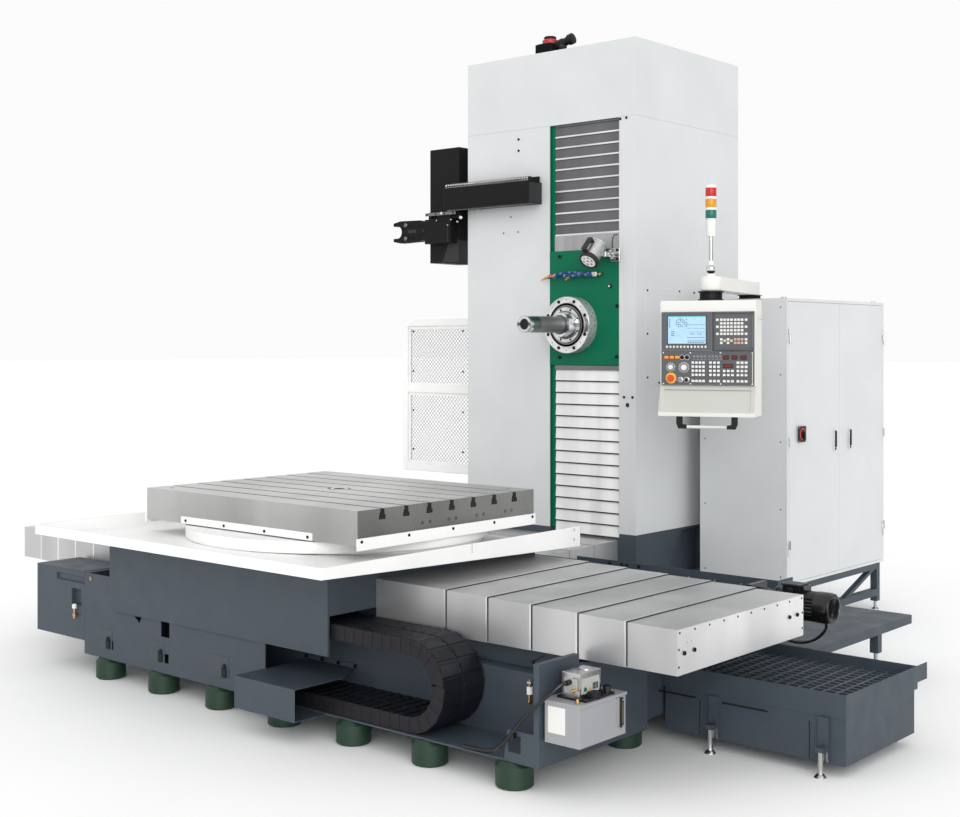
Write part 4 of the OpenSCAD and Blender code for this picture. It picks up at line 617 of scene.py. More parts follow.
def drive_motor_details():
    """The vertical drive's servo motor on the column's roof, with its red encoder cap and plugs."""
    low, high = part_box("y_drive_motor")
    p = Piece("drive_motor", BLACK)
    x, y, z = -0.915, 2.53, low[2]
    left, near, far = low[0], low[1], high[1]
    p.block(low, (high[0], far, z + 0.022), None, 0.003)
    p.block((left + 0.02, near + 0.03, z + 0.022), (left + 0.17, far - 0.03, z + 0.085), None, 0.006)
    for a in [left + 0.024 + i * 0.016 for i in range(9)]:
        p.block((a, near + 0.024, z + 0.03), (a + 0.006, far - 0.024, z + 0.16), None, 0.0015)
    p.block((left + 0.03, near + 0.034, z + 0.085), (left + 0.16, far - 0.034, z + 0.165), None, 0.006)
    p.lathe((x, y, z + 0.165), UP, [(0, 0.058), (0.028, 0.058), (0.036, 0.05)], CAP_RED)
    p.lathe((x, y, z + 0.2), UP, [(0, 0.046), (0.018, 0.046), (0.023, 0.04), (0.0235, 0.001)])
    p.lathe((left + 0.15, y, z + 0.145), (1, 0, 0.25),
            [(0, 0.03), (0.03, 0.03), (0.03, 0.036), (0.07, 0.036), (0.075, 0.03), (0.12, 0.03),
             (0.125, 0.04), (0.16, 0.04), (0.165, 0.03)], BLACK_PLASTIC_AND_SLOT_SHADE, 20)
    p.lathe((left + 0.24, y - 0.05, z + 0.06), (0.3, -0.2, 0.6),
            [(0, 0.022), (0.04, 0.022), (0.04, 0.028), (0.07, 0.028), (0.075, 0.02)], BLACK_PLASTIC_AND_SLOT_SHADE, 16)
    p.block((left + 0.16, y - 0.06, z + 0.022), (left + 0.3, y + 0.06, z + 0.06), BLACK_PLASTIC_AND_SLOT_SHADE, 0.004)
    p.screws(grid([left + 0.012, left + 0.318], [near + 0.014, near + 0.206], z + 0.022), UP, 0.014)
    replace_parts(p.make("column", "black_paint"), "y_drive_motor")


# ------------------------------------------------------------------ headstock and spindle

SPINDLE_X, SPINDLE_Z = -0.36, 2.064
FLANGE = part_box("spindle_flange")[0][1]
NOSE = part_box("milling_spindle")[0][1]
TIP = NOSE - 0.384


def on_spindle(y, radius=0.0, degrees=0.0):
    a = radians(degrees)
    return (SPINDLE_X + radius * cos(a), y, SPINDLE_Z + radius * sin(a))


def headstock_details():
    p = Piece("headstock_fasteners", SCREW_BLACK_AND_SHADE)
    for x, z in ((-0.484, 2.537), (-0.004, 2.544), (0.0, 2.188), (-0.004, 1.848), (-0.484, 1.842)):
        p.screw((x, FRONT - 0.0015, z), NEAR, 0.016)
    p.lathe((-0.059, FRONT - 0.002, 2.322), NEAR,
            [(0, 0.013), (0.003, 0.014), (0.01, 0.014), (0.012, 0.011)], BLACK_PLASTIC_AND_SLOT_SHADE)
    p.lathe((-0.059, FRONT - 0.013, 2.322), NEAR, [(0, 0.008), (0.002, 0.008), (0.003, 0.004)], CHROME, 20)
    p.make("headstock", "black_paint")

    p = Piece("flange_trim", CHROME)
    p.lathe(on_spindle(FLANGE), NEAR, [(0, 0.1915), (0.0012, 0.1905), (0.0016, 0.1885), (0.0016, 0.1565),
                                       (0.0012, 0.1545), (0, 0.1535)], None, 72)
    for turn in range(0, 360, 45):
        p.screw(on_spindle(FLANGE - 0.0012, 0.169, turn + 22.5), NEAR, 0.0145, None, 0.3)
        p.screw(on_spindle(FLANGE - 0.0012, 0.172, turn), NEAR, 0.005, None, 0.3)
    p.lathe(on_spindle(FLANGE - 0.0025), FAR,
            [(0.0025, 0.1535), (0.0, 0.1525), (0.0, 0.149), (0.0025, 0.148)], None, 64)
    p.lathe(on_spindle(FLANGE - 0.004), FAR,
            [(0.004, 0.1355), (0.0, 0.134), (0.0, 0.1235), (0.004, 0.1225)], DARK_STEEL, 64)
    p.make("headstock", "steel")

    # The milling spindle's face: drive keys, tapped holes and a register for the facing head
    p = Piece("spindle_face", CHROME)
    for x in (SPINDLE_X + 0.088, SPINDLE_X - 0.088):
        low, high = SPINDLE_Z - 0.0127, SPINDLE_Z + 0.0127
        p.block((x - 0.014, NOSE + 0.03, low), (x + 0.014, NOSE + 0.062, high), DARK_STEEL)
        p.screw((x, NOSE + 0.03, SPINDLE_Z), NEAR)
    p.screws([on_spindle(NOSE + 0.06, 0.109, turn + 22.5) for turn in range(0, 360, 45)], NEAR)
    p.lathe(on_spindle(NOSE - 0.006), FAR, [(0.006, 0.0825), (0.0, 0.081), (0.0, 0.066), (0.006, 0.0645)],
            None, 64)
    p.lathe(on_spindle(NOSE - 0.012), FAR, [(0.008, 0.0632), (0.001, 0.062), (0.0, 0.0605), (0.0, 0.0556),
                                            (0.008, 0.0556)], DARK_STEEL, 64)
    p.make("milling_spindle", "steel")

    # The bright nose of the boring spindle, with its keys, and the taper's bore in black as painted shade
    p = Piece("nose_ring", CHROME)
    p.lathe(on_spindle(TIP - 0.0005), FAR, [(0.003, 0.0352), (0.0, 0.0375), (0.0, 0.0525), (0.004, 0.0556),
                                            (0.04, 0.0556), (0.044, 0.0551)], None, 64)
    # The taper's bore: painted shade
    p.lathe(on_spindle(TIP - 0.0002), FAR, [(0.002, 0.0348), (0.1, 0.0206)], SCREW_BLACK_AND_SHADE, 48)
    for x in (SPINDLE_X + 0.045, SPINDLE_X - 0.045):
        low, high = SPINDLE_Z - 0.0128, SPINDLE_Z + 0.0128
        p.block((x - 0.0088, TIP - 0.0085, low), (x + 0.0088, TIP + 0.004, high), DARK_STEEL)
        p.screw((x, TIP - 0.0085, SPINDLE_Z), NEAR, 0.007)
    p.make("boring_spindle", "dark_steel")


def work_light_details():
    """A machine lamp: finned aluminium body, rubber rim, glass with its diodes, and a carrying bow."""
    p = Piece("lamp_body", GROUND_STEEL)
    tilt = Matrix.Rotation(radians(45), 4, "X")
    p.frame = Matrix.Translation((-0.112, 1.974, 2.545)) @ tilt @ Matrix.Scale(1.22, 4)
    fins = [(-0.052, 0.046), (-0.05, 0.05)]
    for a in [-0.044 + i * 0.0115 for i in range(9)]:
        fins += [(a, 0.05), (a + 0.0005, 0.044), (a + 0.004, 0.044), (a + 0.0045, 0.05)]
    fins += [(0.06, 0.05), (0.064, 0.046), (0.0645, 0.001)]
    p.lathe((0, 0, 0), FAR, fins, BRIGHT_STEEL_AND_HIGHLIGHT, 40)
    p.lathe((0, -0.05, 0), NEAR, [(0, 0.05), (0.002, 0.056), (0.022, 0.056), (0.026, 0.052), (0.026, 0.044),
                                  (0.02, 0.043)], RUBBER, 40)
    # The glass glows faintly: painted light
    p.lathe((0, -0.064, 0), NEAR, [(0, 0.0445), (0.0055, 0.0445), (0.007, 0.04), (0.0075, 0.001)], GLASS_PAINTED_GLOW, 40)
    for i in range(7):
        a = radians(60 * i)
        r = 0.024 if i < 6 else 0
        p.lathe((r * cos(a), -0.071, r * sin(a)), NEAR,
                [(0, 0.009), (0.0012, 0.008), (0.0006, 0.003)], CHROME, 16)
    for x, y, z in grid([0.009, -0.009], [-0.05, 0.028], 0.045):
        p.block((x - 0.007, y - 0.006, z), (x + 0.007, y + 0.006, z + 0.033), RUBBER, 0.003)
    p.block((-0.017, -0.058, 0.068), (0.017, 0.036, 0.083), RUBBER, 0.005)
    p.frame = Matrix.Identity(4)
    p.rod((-0.082, 1.988, 2.531), (-0.0545, 1.988, 2.531), 0.013)
    p.nut((-0.068, 1.988, 2.531), EAST, 0.034, 0.012, SCREW_BLACK_AND_SHADE)
    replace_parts(p.make("work_light", "steel"), "work_light")

    # Its bracket on the headstock, with a clamping knob and the lamp's cable
    p = Piece("lamp_bracket", GROUND_STEEL)
    x, y, z = -0.034, 2.0, 2.531
    p.block((x - 0.003, y - 0.018, z - 0.018), (x + 0.015, FRONT, z + 0.018))
    p.block((x - 0.02, FRONT - 0.012, z - 0.045), (x + 0.06, FRONT - 0.002, z + 0.045))
    p.screws(grid(x + 0.04, FRONT - 0.012, [z - 0.03, z + 0.03]), NEAR, 0.012)
    p.rod((x + 0.014, y + 0.01, z), (x + 0.04, y + 0.01, z), 0.007, CHROME)
    p.rod((x + 0.038, y + 0.01, z), (x + 0.056, y + 0.01, z), 0.014)
    for a in [radians(120 * i + 20) for i in range(3)]:
        tip = (x + 0.047, y + 0.01 + 0.026 * cos(a), z + 0.026 * sin(a))
        p.lathe(tip, EAST, [(-0.008, 0.008), (-0.006, 0.011), (0.006, 0.011), (0.008, 0.008)], None, 14)
    p.hose([(-0.02, 2.06, 2.575), (0.0, 2.03, 2.62), (-0.004, 2.06, 2.66), (-0.008, FRONT + 0.01, 2.665)],
           0.0035, RUBBER, 8)
    p.make("headstock", "steel")


def coolant_details():
    """Segmented coolant hoses along the headstock, each with its orange nozzle, from one manifold."""
    p = Piece("coolant_hoses", BLUE)
    y, z, bead = FRONT - 0.02, 2.405, 0.0145
    p.block((-0.19, FRONT - 0.036, z - 0.016), (-0.15, FRONT - 0.0025, z + 0.016), GROUND_STEEL)
    p.rod((-0.152, y, z), (-0.115, y, z), 0.009, BRASS)
    p.nut((-0.13, y, z), EAST, 0.026, 0.01, BRASS)
    ends = ((-0.585, 0.03, -0.012), (-0.535, 0.052, 0.0), (-0.462, 0.078, 0.004), (-0.37, 0.045, -0.01))
    for i, (x_end, out, rise) in enumerate(ends):
        start = Vector((-0.188, FRONT - 0.018 - 0.006 * i, z + 0.01 - 0.007 * i))
        end = Vector((x_end, FRONT - out, z + rise))
        middle = (start + end) / 2 + Vector((0, -0.02 - 0.006 * i, 0.014 * (1 if i % 2 else -0.6)))
        path = smooth_path([start, (start + middle) / 2 + Vector((0, -0.006, 0.002)), middle, end], 8)
        beads = int(sum((b - a).length for a, b in zip(path, path[1:])) / bead)
        for k in range(beads):
            spot = k / beads * (len(path) - 1)
            a, b = path[int(spot)], path[min(int(spot) + 1, len(path) - 1)]
            profile = [(-0.001, 0.005), (0.0, 0.0078), (0.008, 0.0092), (0.011, 0.0062), (bead, 0.005)]
            p.lathe(a.lerp(b, spot - int(spot)), b - a, profile, LIGHT_GREY if k % 4 == 3 else BLUE, 10)
        way = (path[-1] - path[-2]).normalized() + Vector((0, -0.25, -0.45))
        p.lathe(path[-1], way, [(0, 0.0088), (0.008, 0.0088), (0.03, 0.0045), (0.044, 0.0035)], ORANGE, 12)
    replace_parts(p.make("headstock", "nozzle"), "coolant_nozzles")


column_details()
way_cover_details()
drive_motor_details()
headstock_details()
work_light_details()
coolant_details()

# ------------------------------------------------------------------ cable chains

CHAIN_W, CHAIN_H, CHAIN_R = 0.139, 0.077, 0.1805
CHAIN_LOW, CHAIN_MID, CHAIN_HIGH = 0.1688, 0.3493, 0.5298
CHAIN_Y = -0.6
# The bend's middle, how far the upper run starts to the left of the lower one, and the side plates
BEND_X, UPPER_START, PLATE = 0.927, 0.1, 0.007


def chain_spot(lower, s):
    """Point and heading on the chain's middle line, s metres from its fixed end."""
    run = BEND_X if lower else BEND_X + UPPER_START
    turn = 1 if lower else -1
    if s <= run:
        return Vector((BEND_X - run + s, 0, CHAIN_LOW if lower else CHAIN_HIGH)), Vector(EAST)
    a = (s - run) / CHAIN_R
    place = Vector((BEND_X + CHAIN_R * sin(a), 0, CHAIN_MID - turn * CHAIN_R * cos(a)))
    return place, Vector((cos(a), 0, turn * sin(a)))


def chain_piece(name, lower, count, y_out):
    """Links with lapped side plates, hinge pins and snap-on lids over a dark inner band."""
    p = Piece(name, CHAIN_SIDE)
    total = (BEND_X if lower else BEND_X + UPPER_START) + CHAIN_R * pi / 2
    half = CHAIN_H / 2
    y_in = y_out + CHAIN_W
    y0, y1 = y_out + PLATE, y_in - PLATE
    for k in range(count):
        a, b = [chain_spot(lower, n * total / count)[0] for n in (k, k + 1)]
        length = (b - a).length
        mid = length * 0.55
        u = (b - a).normalized()
        v = Vector((u.z, 0, -u.x)) if lower else Vector((-u.z, 0, u.x))
        if a.x > BEND_X - 0.02:
            v = ((a + b) / 2 - Vector((BEND_X, 0, CHAIN_MID))).normalized()

        def link(outline, near, far, finish=CHAIN_LID):
            """Draws (along, out from the middle line) points from one y to another."""
            p.prism(outline, lambda s, t, end: (a.x + u.x * s + v.x * t, far if end else near,
                                                a.z + u.z * s + v.z * t), finish)

        # Raised plate, and the thinner tongue that runs behind the next link's plate
        plate = [(0.001, -half + 0.004), (0.004, -half + 0.001), (mid - 0.003, -half + 0.001),
                 (mid, -half + 0.004), (mid, half - 0.004), (mid - 0.003, half - 0.001),
                 (0.004, half - 0.001), (0.001, half - 0.004)]
        end, tip = length + 0.012, length + 0.016
        tongue = [(mid - 0.002, -half + 0.002), (end, -half + 0.004), (tip, -half + 0.012),
                  (tip, half - 0.012), (end, half - 0.002), (mid - 0.002, half - 0.002)]
        # The lower chain's last link has a longer plate, over the joint with the upper chain
        low, high = mid + 0.001, length * 1.43
        cap = [(low, -half + 0.004), (low + 0.003, -half + 0.001), (length * 1.4, -half + 0.001),
               (high, -half + 0.004), (high, half - 0.006), (length * 1.4, half - 0.003),
               (low + 0.003, half - 0.001), (low, half - 0.004)]
        for side, sign in ((y_out, 1), (y_in, -1)):
            link(plate, side, side + sign * PLATE, CHAIN_SIDE)
            link(tongue, side + sign * 0.0016, side + sign * 0.0076, CHAIN_SIDE)
            if lower and k == count - 1:
                link(cap, side, side + sign * PLATE, CHAIN_SIDE)
        # Lids across the chain, outside and inside the bend, each with a rib and two catches
        link([(-0.001, half - 0.004), (0.002, half - 0.0008), (length - 0.003, half - 0.0008),
              (end, half - 0.0025), (end, half - 0.006), (-0.001, half - 0.006)], y0, y1)
        link([(0.01, half - 0.001), (0.012, half + 0.0004), (0.016, half + 0.0004), (0.018, half - 0.001)],
             y0 + 0.012, y1 - 0.012)
        link([(0.01, -half + 0.006), (0.012, -half + 0.001), (length - 0.014, -half + 0.001),
              (length - 0.012, -half + 0.006)], y0, y1)
        for near, far in ((y0 - 0.001, y0 + 0.01), (y1 - 0.01, y1 + 0.001)):
            link([(0.018, half - 0.002), (0.02, half + 0.0006), (0.04, half + 0.0006),
                  (0.042, half - 0.002)], near, far)
    # The dark inner band that closes the chain between its plates
    rings = []
    for s in spaced(0.0, total, 41):
        spot, way = chain_spot(lower, s)
        out = Vector((-way.z, 0, way.x)) * (half - 0.007)
        inner, outer = [(q.x, q.z) for q in (spot - out, spot + out)]
        rings.append([(q[0], y, q[1]) for q, y in ((outer, y_out + 0.008), (outer, y_in - 0.008),
                                                   (inner, y_in - 0.008), (inner, y_out + 0.008))])
    p.loft(rings, CHAIN_LID)
    return p


def chain_details():
    for where, count, fixed, start in (("lower", 19, "base", 0.0), ("upper", 21, "saddle", -UPPER_START)):
        for c in (1, 2):
            y_out = CHAIN_Y - c * CHAIN_W - (c - 1) * 0.002
            piece = chain_piece("%s_chain_%d" % (where, c), where == "lower", count, y_out).make(
                None, "black_plastic")
            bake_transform(piece)
            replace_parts(piece, "carrier_" + where)


# ------------------------------------------------------------------ tool changer

def chain_strip(p, x0, x1, y0, y1, z0, z1, finish, pitch=0.022):
    """A small open cable chain seen from its side: a row of link plates with their windows."""
    count = int(round((x1 - x0) / pitch))
    step = (x1 - x0) / count
    for x in [x0 + k * step for k in range(count)]:
        for z in (z0, (z0 + z1) / 2):
            p.block((x, y0 + 0.002, z + 0.002), (x + 0.011, y0 + 0.012, z + 0.012), finish, 0.0025)
        p.block((x + 0.002, y0 + 0.012, z1 - 0.004), (x + step - 0.002, y1, z1), BLACK_PLASTIC_AND_SLOT_SHADE, 0.0008)
        p.block((x + 0.004, y0 + 0.016, z1 - 0.002), (x + 0.012, y0 + 0.022, z1 + 0.002), finish, 0.0015)
    p.block((x0, (y0 + y1) / 2, z0 + 0.004), (x1, y1, z1 - 0.004), BLACK_PLASTIC_AND_SLOT_SHADE, 0.0008)


def changer_details():
    low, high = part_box("atc_beam")
    p = Piece("changer_beam_trim", BLACK)
    (left, front, base), right = low, high[0]
    top = base + 0.15
    # Back plate with the cable chain that feeds the carriage lying on the beam
    p.block((left + 0.01, front + 0.13, top), (right - 0.012, front + 0.136, top + 0.045))
    chain_strip(p, left + 0.02, right - 0.012, front + 0.007, front + 0.05, top + 0.002, top + 0.036,
                BRIGHT_STEEL_AND_HIGHLIGHT)
    # The sheet cover along the front with its screws, the end cap, and the stops below
    p.block((left + 0.02, front - 0.0015, base + 0.012), (right - 0.02, front + 0.002, top - 0.012),
            None, 0.001)
    p.block((right - 0.001, front + 0.004, base + 0.004), (right + 0.0025, front + 0.136, top - 0.008),
            GREY_BLACK, 0.001)
    places = grid(spaced(left + 0.06, right - 0.2, 5), front - 0.0015, [base + 0.024, top - 0.024])
    p.screws(places, NEAR, 0.006)
    for x, y in ((left + 0.27, front + 0.04), (left + 0.34, front + 0.04)):
        p.rod((x, y, base - 0.018), (x, y, base), 0.006, DARK_STEEL)
        p.lathe((x, y, base - 0.02), UP, [(0, 0.008), (0.006, 0.01), (0.008, 0.01)], DARK_STEEL, 12)
    p.block((left + 0.02, front + 0.03, base - 0.006), (right - 0.06, front + 0.05, base + 0.001),
            DARK_STEEL)
    p.make("column", "black_paint")

    # The housing: two screws, sheet seams, a corner plate, side screws and louvres at the back
    low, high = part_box("atc_housing")
    p = Piece("changer_case_trim", BLACK)
    (x0, y0, z0), (x1, y1, z1) = low, high
    p.screws(grid([x0 + 0.09, x0 + 0.2], y0, z1 - 0.075), NEAR)
    p.block((x0 + 0.012, y0 - 0.0015, 2.93), (x1 - 0.012, y0 + 0.001, 2.936), SCREW_BLACK_AND_SHADE, 0.0005)
    for x, low_z, high_z in ((x1 - 0.088, z0 + 0.21, 2.89), (x0 + 0.15, z0 + 0.26, 2.84)):
        p.block((x, y0 - 0.0018, low_z), (x + 0.004, y0 + 0.001, high_z), GREY_BLACK, 0.0005)
    p.prism([(x1 - 0.004, z0 + 0.004), (x1 - 0.004, z0 + 0.17), (x1 - 0.085, z0 + 0.19),
             (x1 - 0.16, z0 + 0.004)], lambda a, b, end: (a, y0 + (0.002 if end else -0.0022), b),
            GREY_BLACK)
    places = grid(x0, [y0 + 0.04, y1 - 0.04], [z0 + 0.05, z0 + 0.35, z1 - 0.2, z1 - 0.05])
    p.screws(places, WEST, 0.009, DARK_STEEL)
    louvres(p, (x0 + 0.05, z0 + 0.25), (x1 - 0.05, z0 + 0.5), y1 - 0.0005, 1, 8)
    p.make("column", "black_paint")

    # The carriage: guide blocks, rollers and their bright bolts
    low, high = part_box("atc_carriage")
    near = low[1]
    p = Piece("changer_carriage_trim", BLACK)
    for x, z, r in ((-1.514, 2.895, 0.011), (-1.326, 2.854, 0.014), (-1.42, 2.844, 0.006),
                    (-1.358, 2.826, 0.007), (-1.562, 2.845, 0.006), (-1.453, 2.806, 0.006)):
        p.lathe((x, near, z), NEAR,
                [(-0.001, r), (0.006, r), (0.009, r * 0.8), (0.009, r * 0.45), (0.005, r * 0.4)], CHROME, 20)
    p.block((-1.46, near - 0.002, 2.682), (-1.456, near + 0.001, 2.8), GREY_BLACK, 0.0005)
    p.block((low[0] + 0.02, near - 0.004, high[2] - 0.028), (high[0] - 0.02, near + 0.002, high[2] - 0.006),
            DARK_STEEL)
    p.screws(grid(spaced(low[0] + 0.04, high[0] - 0.04, 4), near - 0.004, high[2] - 0.017), NEAR)
    p.make("atc_carriage", "steel")

    # The gripper: pivot pins, screws, latch and side plate
    low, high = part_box("atc_gripper")
    near = low[1]
    p = Piece("gripper_trim", BLACK)
    zc = (low[2] + high[2]) / 2
    for s in (1, -1):
        p.lathe((low[0] + 0.13, near, zc + s * 0.05), NEAR,
                [(-0.001, 0.016), (0.004, 0.016), (0.006, 0.014), (0.006, 0.007), (0.003, 0.006)],
                DARK_STEEL, 20)
        p.screws(grid([low[0] + 0.2, low[0] + 0.27], near, zc + s * 0.045), NEAR, 0.01)
    p.block((low[0] + 0.155, near - 0.003, zc - 0.012), (high[0] - 0.01, near + 0.001, zc + 0.012),
            GREY_BLACK, 0.001)
    p.block((high[0] - 0.09, near - 0.006, zc - 0.03), (high[0] - 0.02, near + 0.001, zc + 0.03),
            None, 0.003)
    p.make("atc_gripper", "black_paint")


# ------------------------------------------------------------------ guard cage

CAGE_TUBE, CAGE_MIDDLE, CAGE_CLAMP = 0.06, 1.565, 0.022
MESH_STEP, WIRE = 0.034, 0.0024


def wire(p, start, end, y):
    """A square wire in the plane y, between two (x, z) points."""
    n = Vector((start[1] - end[1], end[0] - start[0])).normalized() * WIRE
    p.loft([[(x + n.x, y, z + n.y), (x, y - WIRE, z), (x - n.x, y, z - n.y), (x, y + WIRE, z)]
            for x, z in (start, end)])


def cage_details():
    (x0, y0, z0), (x1, y1, z1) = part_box("guard_cage")
    left, right = x0 + CAGE_TUBE, x1 - CAGE_TUBE
    fields = ((z0 + CAGE_TUBE, CAGE_MIDDLE - CAGE_TUBE / 2), (CAGE_MIDDLE + CAGE_TUBE / 2, z1 - CAGE_TUBE))
    p = Piece("cage_frame", BRIGHT)
    for x in (x0, right):
        p.block((x, y0, z0), (x + CAGE_TUBE, y1, z1), None, 0.006)
    for z in (z0, fields[0][1], fields[1][1]):
        p.block((left - 0.001, y0 + 0.0005, z), (right + 0.001, y1 - 0.0005, z + CAGE_TUBE), None, 0.006)
    places = grid([x0 + 0.115, x1 - 0.115, (x0 + x1) / 2], y0 + 0.014, [2.039, 1.714, 1.39, 1.07])
    p.screws(places, NEAR, 0.01)
    # Flat bars that clamp the mesh to the frame
    for low, high in fields:
        for x in (left, right - CAGE_CLAMP):
            p.block((x, y0 + 0.016, low), (x + CAGE_CLAMP, y0 + 0.022, high), None, 0.001)
        for z in (low, high - CAGE_CLAMP):
            p.block((left, y0 + 0.0165, z), (right, y0 + 0.0215, z + CAGE_CLAMP), None, 0.001)
    frame_piece = p.make("column", "white_paint")

    # Diamond mesh: two families of crossing wires in each field
    p = Piece("cage_mesh", MESH_GREY)
    width = right - left
    for low, high in fields:
        height = high - low
        d = MESH_STEP
        while d < width + height:
            start = (min(d, width), low + max(0.0, d - width))
            end = (max(0.0, d - height), low + min(d, height))
            if dist(start, end) > 0.01:
                wire(p, (left + start[0], start[1]), (left + end[0], end[1]), y0 + 0.026)
                wire(p, (right - start[0], start[1]), (right - end[0], end[1]), y0 + 0.0285)
            d += MESH_STEP
    mesh_piece = p.make("column", "white_paint")
    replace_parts(frame_piece, "guard_cage")
    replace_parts(mesh_piece, "guard_cage")


chain_details()
changer_details()
cage_details()

# ------------------------------------------------------------------ control pendant

HANG = Matrix.Translation((0.876, 1.839, 2.197)) @ Matrix.Rotation(radians(20), 4, "Z")
# In the hanging frame: the panel's face, its two sides, and the heights of its units
FACE, SIDE = -0.112, 0.281
UNIT_TOP, UNIT_LOW, CONTROLS_TOP, CONTROLS_LOW = -0.07, -0.304, -0.31, -0.513


def key(p, x, z, wide, tall, finish, out=0.0, proud=0.004):
    """A moulded key cap: dished front and sloping sides."""
    corners = ((-1, -1), (1, -1), (1, 1), (-1, 1))
    a, b, slope, dish = wide / 2, tall / 2, 0.0018, 0.78
    steps = ((a, b, 0.0005), (a - slope, b - slope, -proud),
             ((a - slope) * dish, (b - slope) * dish, 0.0008 - proud))
    p.loft([[(x + s * a, FACE - out + y, z + t * b) for s, t in corners] for a, b, y in steps], finish)


def plate(p, x0, z0, x1, z1, out, finish, chamfer=0.001, back=0.001):
    """A raised rectangle: how far it stands out from the panel's face, and reaches back into it."""
    p.block((x0, FACE - out, z0), (x1, FACE + back, z1), finish, chamfer)


def rim(p, x0, z0, x1, z1, wide, tall, *kind):
    """Four strips along the inside of a rectangle."""
    for a, b, c, d in ((x0, z1 - tall, x1, z1), (x0, z0, x1, z0 + tall), (x0, z0, x0 + wide, z1),
                       (x1 - wide, z0, x1, z1)):
        plate(p, a, b, c, d, *kind)


def screen_details(p):
    """Bezel stepping down to the display, the marks on it, and a row of keys below it."""
    x0, x1, z0, z1 = -SIDE, 0.032, UNIT_LOW, UNIT_TOP
    sx0, sx1, sz0, sz1 = -0.24, -0.008, -0.262, -0.093
    for a, b, c, d in ((x0, sz1, x1, z1), (x0, z0, x1, sz0), (x0, sz0, sx0, sz1), (sx1, sz0, x1, sz1)):
        plate(p, a, b, c, d, 0.006, GREY_PLASTIC, 0.0006, 0.002)
    rim(p, x0, z0, x1, z1, 0.003, 0.003, 0.0085, LIGHT_GREY, 0.0008, -0.005)
    plate(p, sx0 - 0.004, sz0 - 0.003, sx1 + 0.004, sz1 + 0.003, 0.0068, BLACK_PLASTIC_AND_SLOT_SHADE, 0.0003, -0.0058)
    plate(p, sx0, sz0, sx1, sz1, 0.0075, SCREEN, 0.0004, -0.0062)

    def mark(x, z, wide, tall, finish=SCREEN_INK):
        plate(p, x, z, x + wide, z + tall, 0.0079, finish, 0.0002, -0.007)

    mark(sx0, sz1 - 0.007, sx1 - sx0, 0.007, SCREEN_TEAL)
    for row in range(5):
        z = sz1 - 0.022 - row * 0.011
        mark(sx0 + 0.006, z, 0.008, 0.005)
        for k in range(6):
            if (row * 3 + k) % 4:
                mark(sx0 + 0.05 + k * 0.012, z, 0.008, 0.005)
    for row in range(3):
        mark(sx0 + 0.018, sz1 - 0.098 - row * 0.012, 0.022, 0.004)
    for z in (-0.148, -0.172, -0.192, -0.226, -0.246):
        mark(sx0 + 0.118, z, 0.11, 0.0018 if z > -0.2 else 0.0025)
    for k in range(7):
        a = sx0 + 0.122 + k * 0.015
        mark(a, -0.256, 0.01, 0.005)
        if k % 3:
            mark(a, -0.206, 0.009, 0.005)
    for k in range(12):
        key(p, -0.247 + k * 0.0216, -0.281, 0.0125, 0.013, WHITE_PLASTIC, 0.006, 0.003)


def keyboard_details(p):
    """A raised frame around nine columns of keys in seven rows."""
    x0, x1, z0, z1 = 0.038, SIDE, UNIT_LOW, UNIT_TOP
    plate(p, x0, z0, x1, z1, 0.003, GREY_PLASTIC, 0.001, 0.002)
    rim(p, x0, z0, x1, z1, 0.008, 0.01, 0.01, GREY_PLASTIC, 0.003, -0.002)
    plate(p, x1 - 0.006, z0 + 0.02, x1 - 0.003, z1 - 0.02, 0.0105, LIGHT_GREY, 0.0005, -0.009)
    columns = (0.062, 0.086, 0.1065, 0.127, 0.1475, 0.17, 0.1905, 0.211, 0.235)
    # The lower two rows are apart, with coloured keys and gaps
    finishes = {2: KEY_YELLOW, 4: KEY_YELLOW, 5: KEY_TAN, 6: KEY_TAN, 7: KEY_TAN}
    missing = [(0, 1), (8, 1), (0, 3), (8, 3), (0, 5), (0, 6), (2, 6), (4, 6)]
    for row, k in product(range(7), range(9)):
        if (k, row) not in missing:
            z = -0.118 - row * 0.0212 - (0.012 if row > 4 else 0)
            if row == 5 and k in (2, 4):
                z -= 0.008
            finish = finishes.get(k, WHITE_PLASTIC) if row > 4 else WHITE_PLASTIC
            key(p, columns[k], z, 0.0165, 0.015, finish, 0.003, 0.003)


